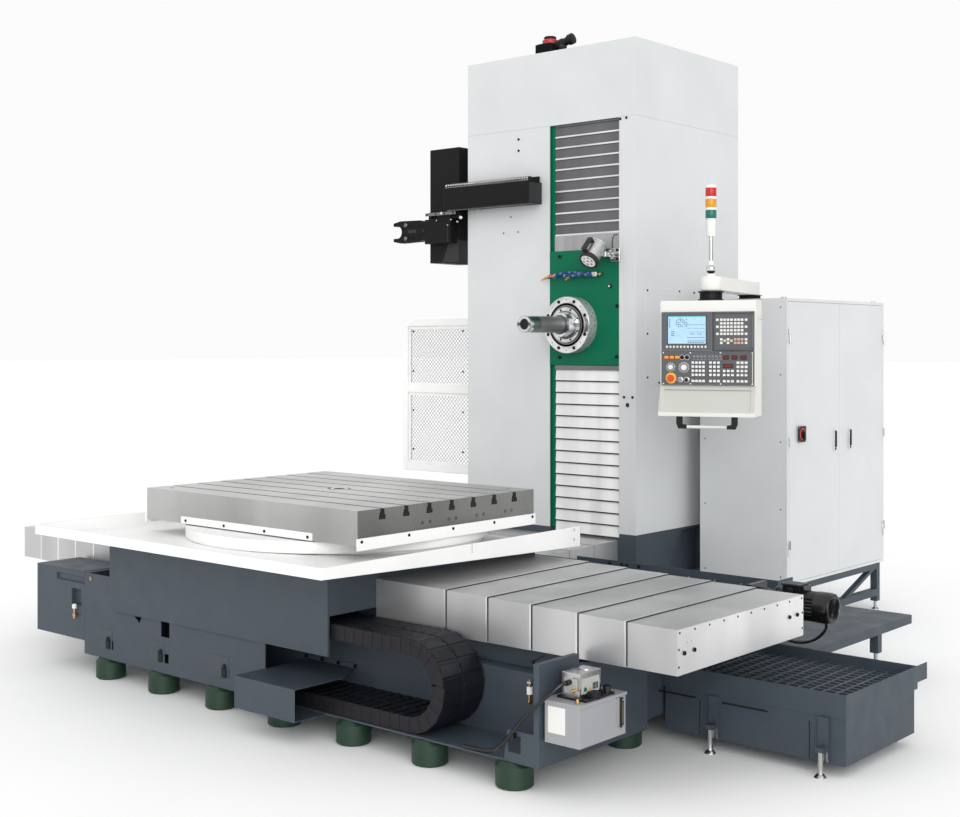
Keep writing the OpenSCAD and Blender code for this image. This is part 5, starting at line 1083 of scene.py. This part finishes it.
def control_details(p):
    """The lower panel: lamps, key switches, dials, buttons, four blocks of keys and digit windows."""
    x0, x1, z0, z1 = -SIDE, SIDE, CONTROLS_LOW, CONTROLS_TOP
    rim(p, x0, z0, x1, z1, 0.002, 0.002, 0.002, LIGHT_GREY, 0.0005)
    for x in (-0.0985, 0.0865):
        plate(p, x, z0, x + 0.001, z1, 0.002, LIGHT_GREY, 0.0005)
    plate(p, x1 - 0.01, z0 + 0.006, x1 - 0.007, z1 - 0.006, 0.0022, WHITE_PLASTIC, 0.0005)
    for a in [-0.264 + k * 0.0335 for k in range(3)]:
        plate(p, a, -0.353, a + 0.026, -0.337, 0.004, LAMP_ORANGE, 0.002)
        plate(p, a - 0.001, -0.354, a + 0.027, -0.336, 0.002, BLACK_PLASTIC_AND_SLOT_SHADE)
    for x in (-0.154, -0.124):
        p.lathe((x, FACE, -0.345), NEAR,
                [(0, 0.0135), (0.003, 0.0135), (0.004, 0.011), (0.012, 0.01), (0.013, 0.008)],
                BLACK_PLASTIC_AND_SLOT_SHADE, 20)
        plate(p, x - 0.009, -0.3475, x + 0.009, -0.3425, 0.0165, BLACK_PLASTIC_AND_SLOT_SHADE, 0.001, -0.012)
        p.lathe((x, FACE, -0.345), NEAR, [(0.0005, 0.0162), (0.0015, 0.0162), (0.0018, 0.0135)], CHROME, 20)
    for x, z, r in ((-0.143, -0.407, 0.034), (-0.225, -0.405, 0.028)):
        p.lathe((x, FACE, z), NEAR, [(0.0003, r), (0.0012, r), (0.0015, r * 0.86)], LIGHT_GREY, 36)
        for a in [radians(-130 + 26 * k) for k in range(11)]:
            q = (x + r * 0.93 * sin(a), FACE - 0.001, z + r * 0.93 * cos(a))
            p.lathe(q, NEAR, [(-0.0005, 0.0022), (0.0007, 0.002)], WHITE_PLASTIC, 8)
    p.lathe((-0.223, FACE, -0.472), NEAR, [(0.0003, 0.0335), (0.0018, 0.0335), (0.0022, 0.022)], YELLOW, 36)
    for x, finish in ((-0.166, LIGHT_GREY), (-0.127, BLACK_PLASTIC_AND_SLOT_SHADE)):
        p.lathe((x, FACE, -0.482), NEAR,
                [(0.0002, 0.0175), (0.002, 0.0175), (0.003, 0.0145), (0.006, 0.0138), (0.008, 0.012)],
                CHROME, 28)
        p.lathe((x, FACE - 0.0078, -0.482), NEAR, [(-0.001, 0.0115), (0.0015, 0.0112), (0.0025, 0.009)],
                finish, 24)
    for start, count, pitch, first in ((-0.087, 4, 0.0215, 0), (0.02, 3, 0.0245, 0), (0.104, 3, 0.0245, 2),
                                       (0.186, 3, 0.0245, 0)):
        for row, k in product(range(first, 5), range(count)):
            z = -0.3765 - row * 0.0248 - (0.012 if row == 4 else 0)
            key(p, start + k * pitch, z, 0.0185, 0.016, WHITE_PLASTIC)
    for x, z, wide in ((0.1, -0.353, 0.028), (0.151, -0.353, 0.028), (0.203, -0.353, 0.032)):
        plate(p, x - 0.003, z - 0.004, x + wide + 0.003, z + 0.02, 0.003, BLACK_PLASTIC_AND_SLOT_SHADE)
        plate(p, x, z, x + wide, z + 0.016, 0.0036, DIGIT_RED, 0.0008)
    plate(p, 0.096, -0.409, 0.156, -0.384, 0.003, BLACK_PLASTIC_AND_SLOT_SHADE)
    plate(p, 0.1, -0.406, 0.152, -0.387, 0.0036, DIGIT_RED, 0.0008)
    for k in range(8):
        a = -0.088 + k * 0.0218 + (0.006 if k > 3 else 0)
        plate(p, a, -0.361, a + 0.015, -0.333, 0.0025, LIGHT_GREY, 0.003)
        plate(p, a + 0.003, -0.356, a + 0.012, -0.343, 0.0045, GREY_PLASTIC, 0.002, -0.001)
    places = grid([-0.271, -0.104, 0.08, 0.271], FACE - 0.0005, [-0.318, -0.506])
    p.screws(places, NEAR, 0.0055, CHROME, 0.35)


def pendant_details():
    p = Piece("pendant_screen", GREY_PLASTIC)
    p.frame = HANG
    screen_details(p)
    keyboard_details(p)
    p.make("pendant", "panel_grey")
    p = Piece("pendant_controls", GREY_PLASTIC)
    p.frame = HANG
    control_details(p)
    p.make("pendant", "panel_grey")
    # The side's lock
    p = Piece("pendant_trim", BLACK_PLASTIC_AND_SLOT_SHADE)
    p.frame = HANG
    p.lathe((0.308, -0.02, -0.108), EAST,
            [(-0.002, 0.014), (0.002, 0.014), (0.003, 0.011), (0.006, 0.0105), (0.007, 0.008)], CHROME, 24)
    p.block((0.3135, -0.022, -0.114), (0.3155, -0.018, -0.102), None, 0.0006)
    p.make("pendant", "black_plastic")


def coupling(p, x, y, z_low, z_high, radius):
    """The ribbed black turning collar between arm and housing."""
    height = z_high - z_low
    p.lathe((x, y, z_low), UP, [(0, radius), (height * 0.12, radius), (height * 0.2, radius * 0.78),
                                (height * 0.8, radius * 0.78), (height * 0.88, radius), (height, radius)],
            None, 48)
    for a in [2 * pi * i / 24 for i in range(24)]:
        n = Vector((cos(a), sin(a), 0)) * radius
        t = Vector((-n.y, n.x, 0)) * 0.05
        q = Vector((x, y, 0)) + n * 0.765
        rib = [v.xy for v in (q - t, q + t, q + t * 0.7 + n * 0.1, q - t * 0.7 + n * 0.1)]
        p.loft([[(*v, z) for v in rib] for z in (z_low + height * 0.18, z_low + height * 0.82)])


def tower_details():
    """The signal tower: chrome ball joint, pole, and a stack of ribbed lenses between white rings."""
    low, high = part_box("signal_tower")
    x, y, z0 = (low[0] + high[0]) / 2, (low[1] + high[1]) / 2, low[2]
    p = Piece("tower_stack", BRIGHT)
    p.lathe((x, y, z0), UP, [(0, 0.034), (0.006, 0.034), (0.01, 0.028), (0.018, 0.026)], WHITE_PLASTIC, 36)
    ball = [(0.016, 0.012)] + [(0.046 - 0.03 * cos(radians(a)), 0.029 * sin(radians(a)))
                               for a in range(25, 160, 9)]
    p.lathe((x, y, z0), UP, [q for q in ball if q[0] < 0.04], SCREW_BLACK_AND_SHADE)
    p.lathe((x, y, z0), UP, [q for q in ball if q[0] > 0.036], CHROME)
    p.rod((x, y, z0 + 0.07), (x, y, z0 + 0.262), 0.0125, GROUND_STEEL)
    p.rod((x, y, z0 + 0.07), (x, y, z0 + 0.098), 0.016, WHITE_PLASTIC)
    r = 0.0335
    p.lathe((x, y, z0 + 0.246), UP, [(0, 0.015), (0.002, r * 0.74), (0.006, r * 0.8), (0.1, r * 0.82),
                                     (0.106, r), (0.11, r * 0.94)], WHITE_PLASTIC, 40)
    for k in range(5):
        p.lathe((x - 0.02, y - r * 0.82, z0 + 0.275 + 0.012 * k), (-0.5, -0.85, 0),
                [(0, 0.0022), (0.0016, 0.002)], LIGHT_GREY, 8)
    z = z0 + 0.355
    for lens in (LENS_GREEN, LENS_AMBER, LENS_RED):
        rings = []
        for dz, size in ((0.0, 0.93), (0.003, 0), (0.051, 0), (0.054, 0.93)):
            radii = [r * (size or (1.0 if i % 2 else 0.965)) for i in range(48)]
            turns = [2 * pi * i / 48 for i in range(48)]
            rings.append([(x + q * cos(a), y + q * sin(a), z + dz) for q, a in zip(radii, turns)])
        p.loft(rings, lens)
        p.lathe((x, y, z + 0.053), UP, [(0, r * 0.95), (0.002, r), (0.013, r), (0.015, r * 0.95)],
                WHITE_PLASTIC, 40)
        z += 0.068
    p.lathe((x, y, z - 0.003), UP, [(0, r), (0.004, r * 0.96), (0.006, r * 0.8), (0.0065, 0.002)],
            WHITE_PLASTIC, 40)
    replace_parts(p.make("arm", "tower"), "signal_tower")


def arm_details():
    p = Piece("arm_trim", BLACK_PLASTIC_AND_SLOT_SHADE)
    coupling(p, 0.876, 1.839, 2.199, 2.256, 0.079)
    coupling(p, 0.626, 2.74, 2.2375, 2.2615, 0.082)
    for a in [radians(45 + 90 * i) for i in range(4)]:
        x, y = 0.626 + 0.055 * cos(a), 2.74 + 0.055 * sin(a)
        p.screw((x, y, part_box("pendant_arm")[1][2] - 0.0005), UP)
    p.make("arm", "black_plastic")


# ------------------------------------------------------------------ cabinet

SWITCH_Y, SWITCH_Z = 2.823, 1.337


def cabinet_details():
    low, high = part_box("cabinet")
    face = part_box("door_front")[1][0]
    for side, y, edge, turn in (("front", 3.299, 0, 1), ("rear", 3.523, 1, -1)):
        body = "door_" + side
        p = Piece(side + "_door_trim", BRIGHT)
        # Flush lever lock: bright escutcheon with a black swing handle
        p.block((face - 0.001, y - 0.013, 1.203), (face + 0.004, y + 0.013, 1.343), CHROME)
        p.block((face + 0.003, y - 0.009, 1.225), (face + 0.012, y + 0.009, 1.338), BLACK_PLASTIC_AND_SLOT_SHADE, 0.004)
        p.lathe((face + 0.003, y, 1.215), EAST, [(0, 0.009), (0.003, 0.009), (0.004, 0.006)],
                BLACK_PLASTIC_AND_SLOT_SHADE, 20)
        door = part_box(body)
        hinge = door[edge][1] + turn * 0.004
        for z in spaced(door[0][2] + 0.25, door[1][2] - 0.25, 3):
            p.rod((face + 0.001, hinge, z - 0.03), (face + 0.001, hinge, z + 0.03), 0.006, CHROME, 16)
        p.make(body, "white_paint")

    p = Piece("switch_plate", BLACK_PLASTIC_AND_SLOT_SHADE)
    p.block((face - 0.001, 2.772, 1.285), (face + 0.006, 2.874, 1.39), None, 0.003)
    p.lathe((face + 0.005, SWITCH_Y, SWITCH_Z), EAST, [(0, 0.04), (0.003, 0.04), (0.004, 0.037)], RED, 40)
    p.lathe((face + 0.008, SWITCH_Y, SWITCH_Z), EAST, [(0, 0.033), (0.002, 0.033), (0.003, 0.03)], None, 40)
    places = grid(face + 0.005, [SWITCH_Y - 0.042, SWITCH_Y + 0.042], [SWITCH_Z - 0.044, SWITCH_Z + 0.044])
    p.screws(places, EAST, 0.0055, CHROME, 0.3)
    p.make("door_front", "black_plastic")

    # Lifting eyes' plugs on the roof, the side panels' screws, and louvres at the left and the rear
    p = Piece("cabinet_fittings", WHITE)
    for place in grid([low[0] + 0.06, high[0] - 0.07], [low[1] + 0.06, high[1] - 0.06], high[2]):
        p.lathe(place, UP, [(-0.001, 0.02), (0.006, 0.02), (0.008, 0.014), (0.01, 0.012)],
                GROUND_STEEL, 20)
    places = grid(low[0], [low[1] + 0.02, high[1] - 0.02], spaced(low[2] + 0.1, high[2] - 0.1, 5))
    p.screws(places, WEST, 0.006, SCREW_BLACK_AND_SHADE, 0.35)
    places = grid([low[0] + 0.04, high[0] - 0.06], low[1], spaced(low[2] + 0.06, high[2] - 0.06, 5))
    p.screws(places, NEAR, 0.006, SCREW_BLACK_AND_SHADE, 0.35)
    for y in (low[1] + 0.35, low[1] + 1.05):
        louvres(p, (y, low[2] + 0.25), (y + 0.35, low[2] + 0.65), low[0] + 0.0005, -1, 10, False)
    louvres(p, (low[0] + 0.12, high[2] - 0.45), (high[0] - 0.12, high[2] - 0.12), high[1] - 0.0005, 1, 9)
    p.make("base", "white_paint")


pendant_details()
arm_details()
tower_details()
cabinet_details()

# ------------------------------------------------------------------ table, tray and saddle

SLOT_PITCH = 0.175


def table_details():
    low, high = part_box("rotary_table")
    cx, cy, top = (low[0] + high[0]) / 2, (low[1] + high[1]) / 2, high[2]
    p = Piece("table_fittings", CHROME)
    p.lathe((cx, cy, top - 0.0006), UP, [(0, 0.052), (0.0014, 0.051), (0.0014, 0.0365), (0.0, 0.0345)],
            None, 56)
    for place in grid(high[0] - 0.0005, [-0.23, -0.171, -0.025, 0.032, 0.201, 0.259, 0.445, 0.5], 0.998):
        p.lathe(place, EAST, [(0, 0.0085), (0.001, 0.0085), (0.0014, 0.007), (0.0004, 0.0045)],
                SCREW_BLACK_AND_SHADE, 18)
    # Black T-shaped fillers in the ends of the T-slots: painted shade for the slots' insides
    cap = [(-0.013, 0.001), (-0.013, -0.03), (-0.022, -0.03), (-0.022, -0.052), (0.022, -0.052),
           (0.022, -0.03), (0.013, -0.03), (0.013, 0.001)]
    for y in [cy + SLOT_PITCH * k for k in range(-3, 4)]:
        for ends in ((high[0] - 0.012, high[0] + 0.0014), (low[0] - 0.0014, low[0] + 0.012)):
            p.prism(cap, lambda a, b, end: (ends[end], y + a, top - 0.004 + b), BLACK_PLASTIC_AND_SLOT_SHADE)
    for x, y in ((low[0] + 0.12, low[1] + SLOT_PITCH / 2), (high[0] - 0.12, high[1] - SLOT_PITCH / 2)):
        p.lathe((x, y, top - 0.0005), UP, [(0, 0.012), (0.001, 0.0115), (0.001, 0.006), (0.0002, 0.0055)],
                SCREW_BLACK_AND_SHADE, 20)
    p.make("table", "steel")

    p = Piece("skirt_fasteners", SCREW_BLACK_AND_SHADE)
    low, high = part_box("table_skirt")
    p.screws(grid(high[0], [-0.679, -0.339, 0.001, 0.34, 0.677], 0.945), EAST, 0.01, None, 0.4)
    p.screws(grid([-0.977, -0.639, -0.301, 0.039], low[1], 0.94), NEAR, 0.01, None, 0.4)
    p.make("table", "dark_steel")


def saddle_details():
    low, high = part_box("saddle_tray")
    p = Piece("tray_fasteners", GROUND_STEEL)
    p.screws(grid(high[0], 0.661, [0.846, 0.9]), EAST, 0.009, GROUND_STEEL, 0.4)
    p.screws(grid(spaced(low[0] + 0.12, high[0] - 0.12, 8), high[1], 0.885), FAR, 0.009, GROUND_STEEL, 0.4)
    p.block((high[0] - 0.002, -0.2, 0.866), (high[0] + 0.001, -0.196, 0.93), None, 0.0005)
    p.make("saddle", "white_paint")

    low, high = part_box("saddle")
    p = Piece("saddle_fittings", SCREW_BLACK_AND_SHADE)
    p.screws(grid(high[0] - 0.0005, spaced(-0.42, 0.42, 4), 0.72), EAST, 0.014)
    p.screws(grid(spaced(low[0] + 0.15, high[0] - 0.15, 6), high[1] - 0.0005, 0.7), FAR, 0.014)
    p.make("saddle", "dark_steel")


# ------------------------------------------------------------------ bed and its covers

BED_FRONT = -0.89


def bed_details():
    p = Piece("bed_fasteners", SCREW_BLACK_AND_SHADE)
    p.screws(grid([-0.091, 0.033, 0.155, 0.28], -0.598, 0.294), NEAR, 0.013, None, 0.6)
    p.screws(grid([0.688, 0.773, 0.808, 0.891], 1.042, 0.667), NEAR, 0.011, None, 0.6)
    p.make("base", "dark_steel")

    # Oil cup with its pipe on the bed's side
    p = Piece("oil_cup", BRASS)
    x, y, z = 1.43, -0.616, 0.402
    p.block((x - 0.012, y - 0.006, z - 0.01), (x + 0.012, -0.589, z), GROUND_STEEL, 0.001)
    p.lathe((x, y, 0.303), UP, [(0, 0.009), (0.006, 0.011), (0.018, 0.011), (0.02, 0.007), (0.04, 0.007),
                                (0.042, 0.013), (0.075, 0.013), (0.08, 0.006), (0.1, 0.005)], None, 24)
    # The cup's glass glows faintly: painted light
    p.lathe((x, y, 0.345), UP, [(0, 0.0135), (0.034, 0.0135)], GLASS_PAINTED_GLOW, 24)
    p.rod((x, y, z), (x, y, z + 0.01), 0.004, None, 8)
    p.lathe((x, -0.5895, 0.487), NEAR, [(0, 0.01), (0.005, 0.01), (0.009, 0.007)], SCREW_BLACK_AND_SHADE, 14)
    p.rod((x, -0.5955, 0.487), (1.5, -0.5955, 0.528), 0.003, SCREW_BLACK_AND_SHADE, 8)
    p.make("base", "steel")

    # The drain valve by the left box, and a plug above it
    p = Piece("drain_valve", BRASS)
    x, y = -1.779, -0.905
    p.lathe((x, y, 0.318), UP, [(0, 0.008), (0.014, 0.008), (0.015, 0.012), (0.03, 0.012), (0.032, 0.007),
                                (0.058, 0.007)], None, 20)
    p.lathe((x, y, 0.376), UP, [(0, 0.012), (0.004, 0.014), (0.022, 0.014), (0.027, 0.009)],
            WHITE_PLASTIC, 20)
    p.rod((x, y, 0.34), (x, -0.882, 0.34), 0.007)
    p.lathe((-1.635, -0.889, 0.565), NEAR,
            [(0, 0.012), (0.004, 0.012), (0.006, 0.009), (0.006, 0.005), (0.003, 0.004)], None, 16)
    p.make("base", "steel")


def cover_details():
    """Each sheet cover ends in a folded edge, brighter as a painted highlight, with a black strip over the
    next one that stands for the wiper lip and the painted shadow under it.
    """
    for k, body in enumerate(["saddle"] + ["covers_%d" % k for k in range(2, 6)], 1):
        low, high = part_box("x_covers_%d" % k)
        p = Piece("cover_edge_%d" % k, BRIGHT_STEEL_AND_HIGHLIGHT)
        for x, s in ((high[0], 1), (low[0], -1)):
            a, b = sorted((x + s * 0.0002, x + s * 0.0045))
            c, e = sorted((x - s * 0.009, x + s * 0.0006))
            # A black strip just past the cover's end: the wiper lip and the painted shadow under it
            p.block((a, low[1] + 0.0045, high[2] - 0.0065), (b, high[1] - 0.0045, high[2] - 0.0018),
                    SEAM_BLACK_AND_SHADE, 0.0005)
            # The folded edge in brighter steel: a painted highlight
            p.block((c, low[1] + 0.001, high[2] - 0.002), (e, high[1] - 0.001, high[2] + 0.0009),
                    None, 0.0004)
            for y, t in ((low[1], 1), (high[1], -1)):
                f, g = sorted((y + t * 0.0018, y + t * 0.0062))
                p.block((a, f, low[2] + 0.004), (b, g, high[2] - 0.002), SEAM_BLACK_AND_SHADE, 0.0005)
                f, g = sorted((y - t * 0.0009, y + t * 0.002))
                p.block((c, f, low[2] + 0.003), (e, g, high[2]), None, 0.0004)
        p.make(body, "steel")

    # Screws in the fixed cover's end plate
    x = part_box("x_covers_6")[1][0] - 0.0005
    p = Piece("cover_end_screws", SCREW_BLACK_AND_SHADE)
    p.screws(grid(x, [-0.535 + i * 0.119 for i in range(10)], 0.71), EAST, 0.006, None, 0.4)
    p.screws(grid(x, [-0.542, 0.542], [0.64, 0.566]), EAST, 0.006, None, 0.4)
    for y, z in ((-0.501, 0.62), (-0.422, 0.622), (0.416, 0.637), (0.491, 0.638)):
        p.screw((x, y, z), EAST, 0.012, None, 0.6)
    for y, z in ((-0.478, 0.663), (-0.445, 0.665)):
        p.lathe((x, y, z), EAST, [(0, 0.004), (0.0008, 0.0036), (0.0002, 0.002)], None, 12)
    p.make("base", "steel")


def grate_details():
    """Long strips between the grate's cross bars, flush with their tops."""
    low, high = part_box("tank_grate")
    p = Piece("grate_strips", CASTING)
    for y in spaced(low[1] + 0.007, high[1] - 0.007, 15):
        p.block((low[0] + 0.002, y - 0.006, high[2] - 0.017), (high[0] - 0.002, y + 0.006, high[2] - 0.0012),
                None, 0.001)
    p.make("base", "casting")


def hatch_details():
    """Cover plates on the bed's front, each with a small black catch."""
    p = Piece("bed_hatches", PAINTED_SHADE_STEEL)
    y = BED_FRONT
    for x0, x1 in ((-1.553, -1.42), (-1.063, -0.923), (-0.513, -0.37)):
        p.block((x0, y - 0.0018, 0.178), (x1, y + 0.0005, 0.292), HATCH_GREY, 0.001)
        p.block((x1 - 0.052, y - 0.012, 0.182), (x1 - 0.018, y, 0.235), SCREW_BLACK_AND_SHADE, 0.004)
        p.lathe((x1 - 0.035, y - 0.008, 0.235), UP, [(0, 0.01), (0.01, 0.01), (0.016, 0.006)],
                SCREW_BLACK_AND_SHADE, 14)
    p.make("base", "casting")


# ------------------------------------------------------------------ lubrication unit

def lube_details():
    (x0, y0, z0), (x1, y1, z1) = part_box("lube_tank")
    p = Piece("tank_fittings", WHITE_PLASTIC)
    # Plain plate, sight glass with its frame, lid, filler cap and nipple
    p.block((x0 + 0.033, y0 - 0.0012, 0.282), (x0 + 0.125, y0 + 0.0005, 0.395), IVORY, 0.0006)
    y = -0.573
    p.block((x1 - 0.0005, y - 0.012, 0.272), (x1 + 0.01, y + 0.012, 0.401), BLACK_PLASTIC_AND_SLOT_SHADE, 0.004)
    # The sight glass glows faintly: painted light
    p.block((x1 + 0.009, y - 0.005, 0.29), (x1 + 0.0115, y + 0.005, 0.383), SIGHT_GLASS_PAINTED_GLOW, 0.001)
    p.screws(grid(x1 + 0.01, y, [0.28, 0.393]), EAST, 0.0055, CHROME, 0.35)
    p.block((x0 - 0.002, y0 - 0.002, z1 - 0.01), (x1 + 0.002, y1 + 0.002, z1 + 0.0025), TANK_GREY)
    p.lathe((x1 - 0.038, -0.72, z1 + 0.002), UP,
            [(0, 0.026), (0.01, 0.026), (0.011, 0.03), (0.026, 0.03), (0.03, 0.026)], BLACK_PLASTIC_AND_SLOT_SHADE, 28)
    p.lathe((x1 - 0.034, -0.84, z1 + 0.002), UP, [(0, 0.01), (0.008, 0.01), (0.012, 0.007), (0.02, 0.006)],
            BRASS, 16)
    places = grid([x0 + 0.012, x1 - 0.012], [y0 + 0.012, y1 - 0.012], z1 + 0.002)
    p.screws(places, UP, 0.006, CHROME, 0.4)
    p.make("base", "steel")

    # The pump's lid, face plates, lamps, terminals, screws, cap and outlet
    p = Piece("pump_fittings", GROUND_STEEL)
    x0, x1, y0, y1, z0, z1 = 1.75, 1.844, -0.792, -0.64, 0.43, 0.528
    face = x1 + 0.0022
    p.block((x0 - 0.001, y0 - 0.001, z1 - 0.014), (x1 + 0.001, y1 + 0.001, z1 + 0.002))
    p.block((x1 - 0.0005, y0 + 0.012, z0 + 0.01), (x1 + 0.0025, y1 - 0.012, z1 - 0.022), PUMP_PLATE, 0.001)
    p.block((x0 + 0.012, y0 - 0.0025, z0 + 0.012), (x1 - 0.012, y0 + 0.0005, z1 - 0.022), PUMP_PLATE, 0.001)
    p.lathe((face, y0 + 0.035, z0 + 0.03), EAST, [(0, 0.009), (0.004, 0.009), (0.006, 0.007)], GREEN, 18)
    p.lathe((face, y0 + 0.07, z0 + 0.03), EAST, [(0, 0.006), (0.003, 0.006), (0.004, 0.004)], ORANGE, 16)
    for y in [y0 + 0.09 + 0.01 * k for k in range(4)]:
        p.block((face, y, z0 + 0.022), (x1 + 0.004, y + 0.006, z0 + 0.05), BLACK_PLASTIC_AND_SLOT_SHADE, 0.0005)
    places = grid(x1 + 0.0024, [y0 + 0.018, y0 + 0.134], [z0 + 0.016, z0 + 0.07])
    p.screws(places, EAST, 0.0045, CHROME, 0.35)
    p.lathe(((x0 + x1) / 2, y1 - 0.045, z1 + 0.0015), UP, [(0, 0.031), (0.003, 0.031), (0.006, 0.027)])
    x, z = x1 - 0.02, z0 + 0.03
    p.rod((x, y0 + 0.004, z), (x, y0 - 0.03, z), 0.006, BRASS)
    p.nut((x, y0 - 0.014, z), NEAR, 0.017, 0.01, BRASS)
    p.make("base", "steel")


# ------------------------------------------------------------------ chip conveyor and tank

MOTOR_Y, MOTOR_Z = 0.84, 0.616


def conveyor_details():
    """The auger's drive: gear unit, ribbed motor body, fan cowl with its grille, and terminal box."""
    p = Piece("auger_drive", GLOSS_BLACK)
    y, z = MOTOR_Y, MOTOR_Z
    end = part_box("auger_motor")[1][0] + 0.005
    p.lathe((1.76, y, z), EAST, [(0, 0.055), (0.006, 0.062), (0.06, 0.062), (0.066, 0.056), (0.11, 0.056),
                                 (0.116, 0.078), (0.132, 0.078), (0.138, 0.068)], None, 40)
    ribs = [(0.0705 if i % 3 == 2 else 0.0755, radians(5 * i)) for i in range(72)]
    p.loft([[(x, y + r * cos(a), z + r * sin(a)) for r, a in ribs] for x in (1.895, end - 0.085)])
    p.lathe((end - 0.088, y, z), EAST, [(0, 0.072), (0.004, 0.0785), (0.072, 0.0785), (0.086, 0.07),
                                        (0.088, 0.062), (0.0835, 0.058), (0.0835, 0.002)], None, 48)
    for r in (0.014, 0.026, 0.038, 0.049):
        p.lathe((end - 0.0048, y, z), EAST, [(0, r - 0.002), (0.0035, r - 0.002), (0.0045, r),
                                             (0.0035, r + 0.002), (0, r + 0.002)], BLACK, 40)
    for a in [pi * i / 4 for i in range(4)]:
        d = Vector((0, cos(a), sin(a))) * 0.052
        c = Vector((end - 0.003, y, z))
        p.rod(c - d, c + d, 0.0016, BLACK, 8)
    p.block((1.93, y - 0.042, z + 0.055), (2.03, y + 0.042, z + 0.1), BLACK, 0.005)
    p.block((1.926, y - 0.045, z + 0.098), (2.034, y + 0.045, z + 0.106), GREY_BLACK)
    p.screws(grid([1.936, 2.024], [y - 0.036, y + 0.036], z + 0.105), UP, 0.005, CHROME, 0.4)
    p.lathe((1.98, y - 0.04, z + 0.076), NEAR, [(0, 0.013), (0.012, 0.013), (0.014, 0.01), (0.03, 0.009)],
            BLACK_PLASTIC_AND_SLOT_SHADE, 16)
    p.make("base", "black_paint")


def tank_details():
    """Seams, and the drain slots below the tank's rim drawn as flush dark strips: painted shade in place of
    their openings.
    """
    low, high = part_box("catch_tank")
    p = Piece("tank_trim", SEAM_BLACK_AND_SHADE)
    for x in (low[0] + 0.268, high[0] - 0.137):
        p.block((x, low[1] - 0.0175, 0.09), (x + 0.003, low[1] - 0.012, 0.255), None, 0.0005)
    # Drain slots: flush dark strips as painted shade
    for x0, x1 in ((low[0] + 0.03, low[0] + 0.24), (low[0] + 0.38, low[0] + 0.62)):
        p.block((x0, low[1] - 0.001, 0.252), (x1, low[1] + 0.001, 0.261), None, 0.0005)
    p.make("base", "casting")


table_details()
saddle_details()
bed_details()
cover_details()
grate_details()
hatch_details()
lube_details()
conveyor_details()
tank_details()

# ------------------------------------------------------------------ stage

FLOOR_SIDE = 150


def sun(name, direction, strength, angle):
    light = bpy.data.lights.new(name, "SUN")
    light.energy = strength
    light.angle = radians(angle)
    lamp = bpy.data.objects.new(name, light)
    lamp.rotation_euler = Vector(direction).to_track_quat("-Z", "Y").to_euler()
    bpy.context.scene.collection.objects.link(lamp)


def studio():
    """A white room whose ceiling and right rear side are dimmer, so that steel shows its form."""
    world = bpy.data.worlds.new("studio")
    world.use_nodes = True
    tree = world.node_tree
    place = tree.nodes.new("ShaderNodeTexCoord")
    aside = tree.nodes.new("ShaderNodeVectorMath")
    aside.operation = "DOT_PRODUCT"
    aside.inputs[1].default_value = (0.77, 0.55, 0.32)
    tree.links.new(place.outputs["Generated"], aside.inputs[0])
    dim = tree.nodes.new("ShaderNodeMapRange")
    dim.interpolation_type = "SMOOTHSTEP"
    for key, number in zip(("From Min", "From Max", "To Min", "To Max"), (0.35, 0.9, 0.97, 0.66)):
        dim.inputs[key].default_value = number
    tree.links.new(aside.outputs["Value"], dim.inputs["Value"])
    back = tree.nodes["Background"]
    back.inputs[0].default_value = (1, 1, 1, 1)
    tree.links.new(dim.outputs["Result"], back.inputs[1])
    bpy.context.scene.world = world


def stage():
    s = FLOOR_SIDE
    floor_mesh = bpy.data.meshes.new("floor")
    floor_mesh.from_pydata([(-s, -s, 0), (s, -s, 0), (s, s, 0), (-s, s, 0)], [], [(0, 1, 2, 3)])
    floor = bpy.data.objects.new("floor", floor_mesh)
    floor.location.z = cad_box[0][2] - 0.0005
    bpy.context.scene.collection.objects.link(floor)
    g = Graph("pale_floor", (0.96, 0.96, 0.96), 0.9)
    g.shader.inputs["Specular IOR Level"].default_value = 0.1
    g.colour(g.blend(g.span(g.noise(1.5, 4), 0, 1), (0.955, 0.955, 0.955), (0.97, 0.97, 0.97)))
    floor.data.materials.append(g.material)
    studio()
    sun("key", (-0.8, 0.3, -0.52), 0.5, 60)
    sun("front", (-0.68, 0.71, -0.16), 1.6, 50)
    bpy.context.scene.view_settings.view_transform = "Standard"


# The camera stands level, off the right end of the table bed's front, and looks at the column
EYE = Vector((5.377, -5.508, 1.925))
AZIMUTH, LENS, SHIFT, REACH = 40.95, 52.0, -0.0658, 400


def camera():
    lens = bpy.data.cameras.new("camera")
    lens.lens = LENS
    lens.shift_y = SHIFT
    lens.clip_end = REACH
    eye = bpy.data.objects.new("camera", lens)
    eye.location = EYE
    eye.rotation_euler = (radians(90), 0, radians(AZIMUTH))
    bpy.context.scene.collection.objects.link(eye)
    bpy.context.scene.camera = eye


camera()
stage()
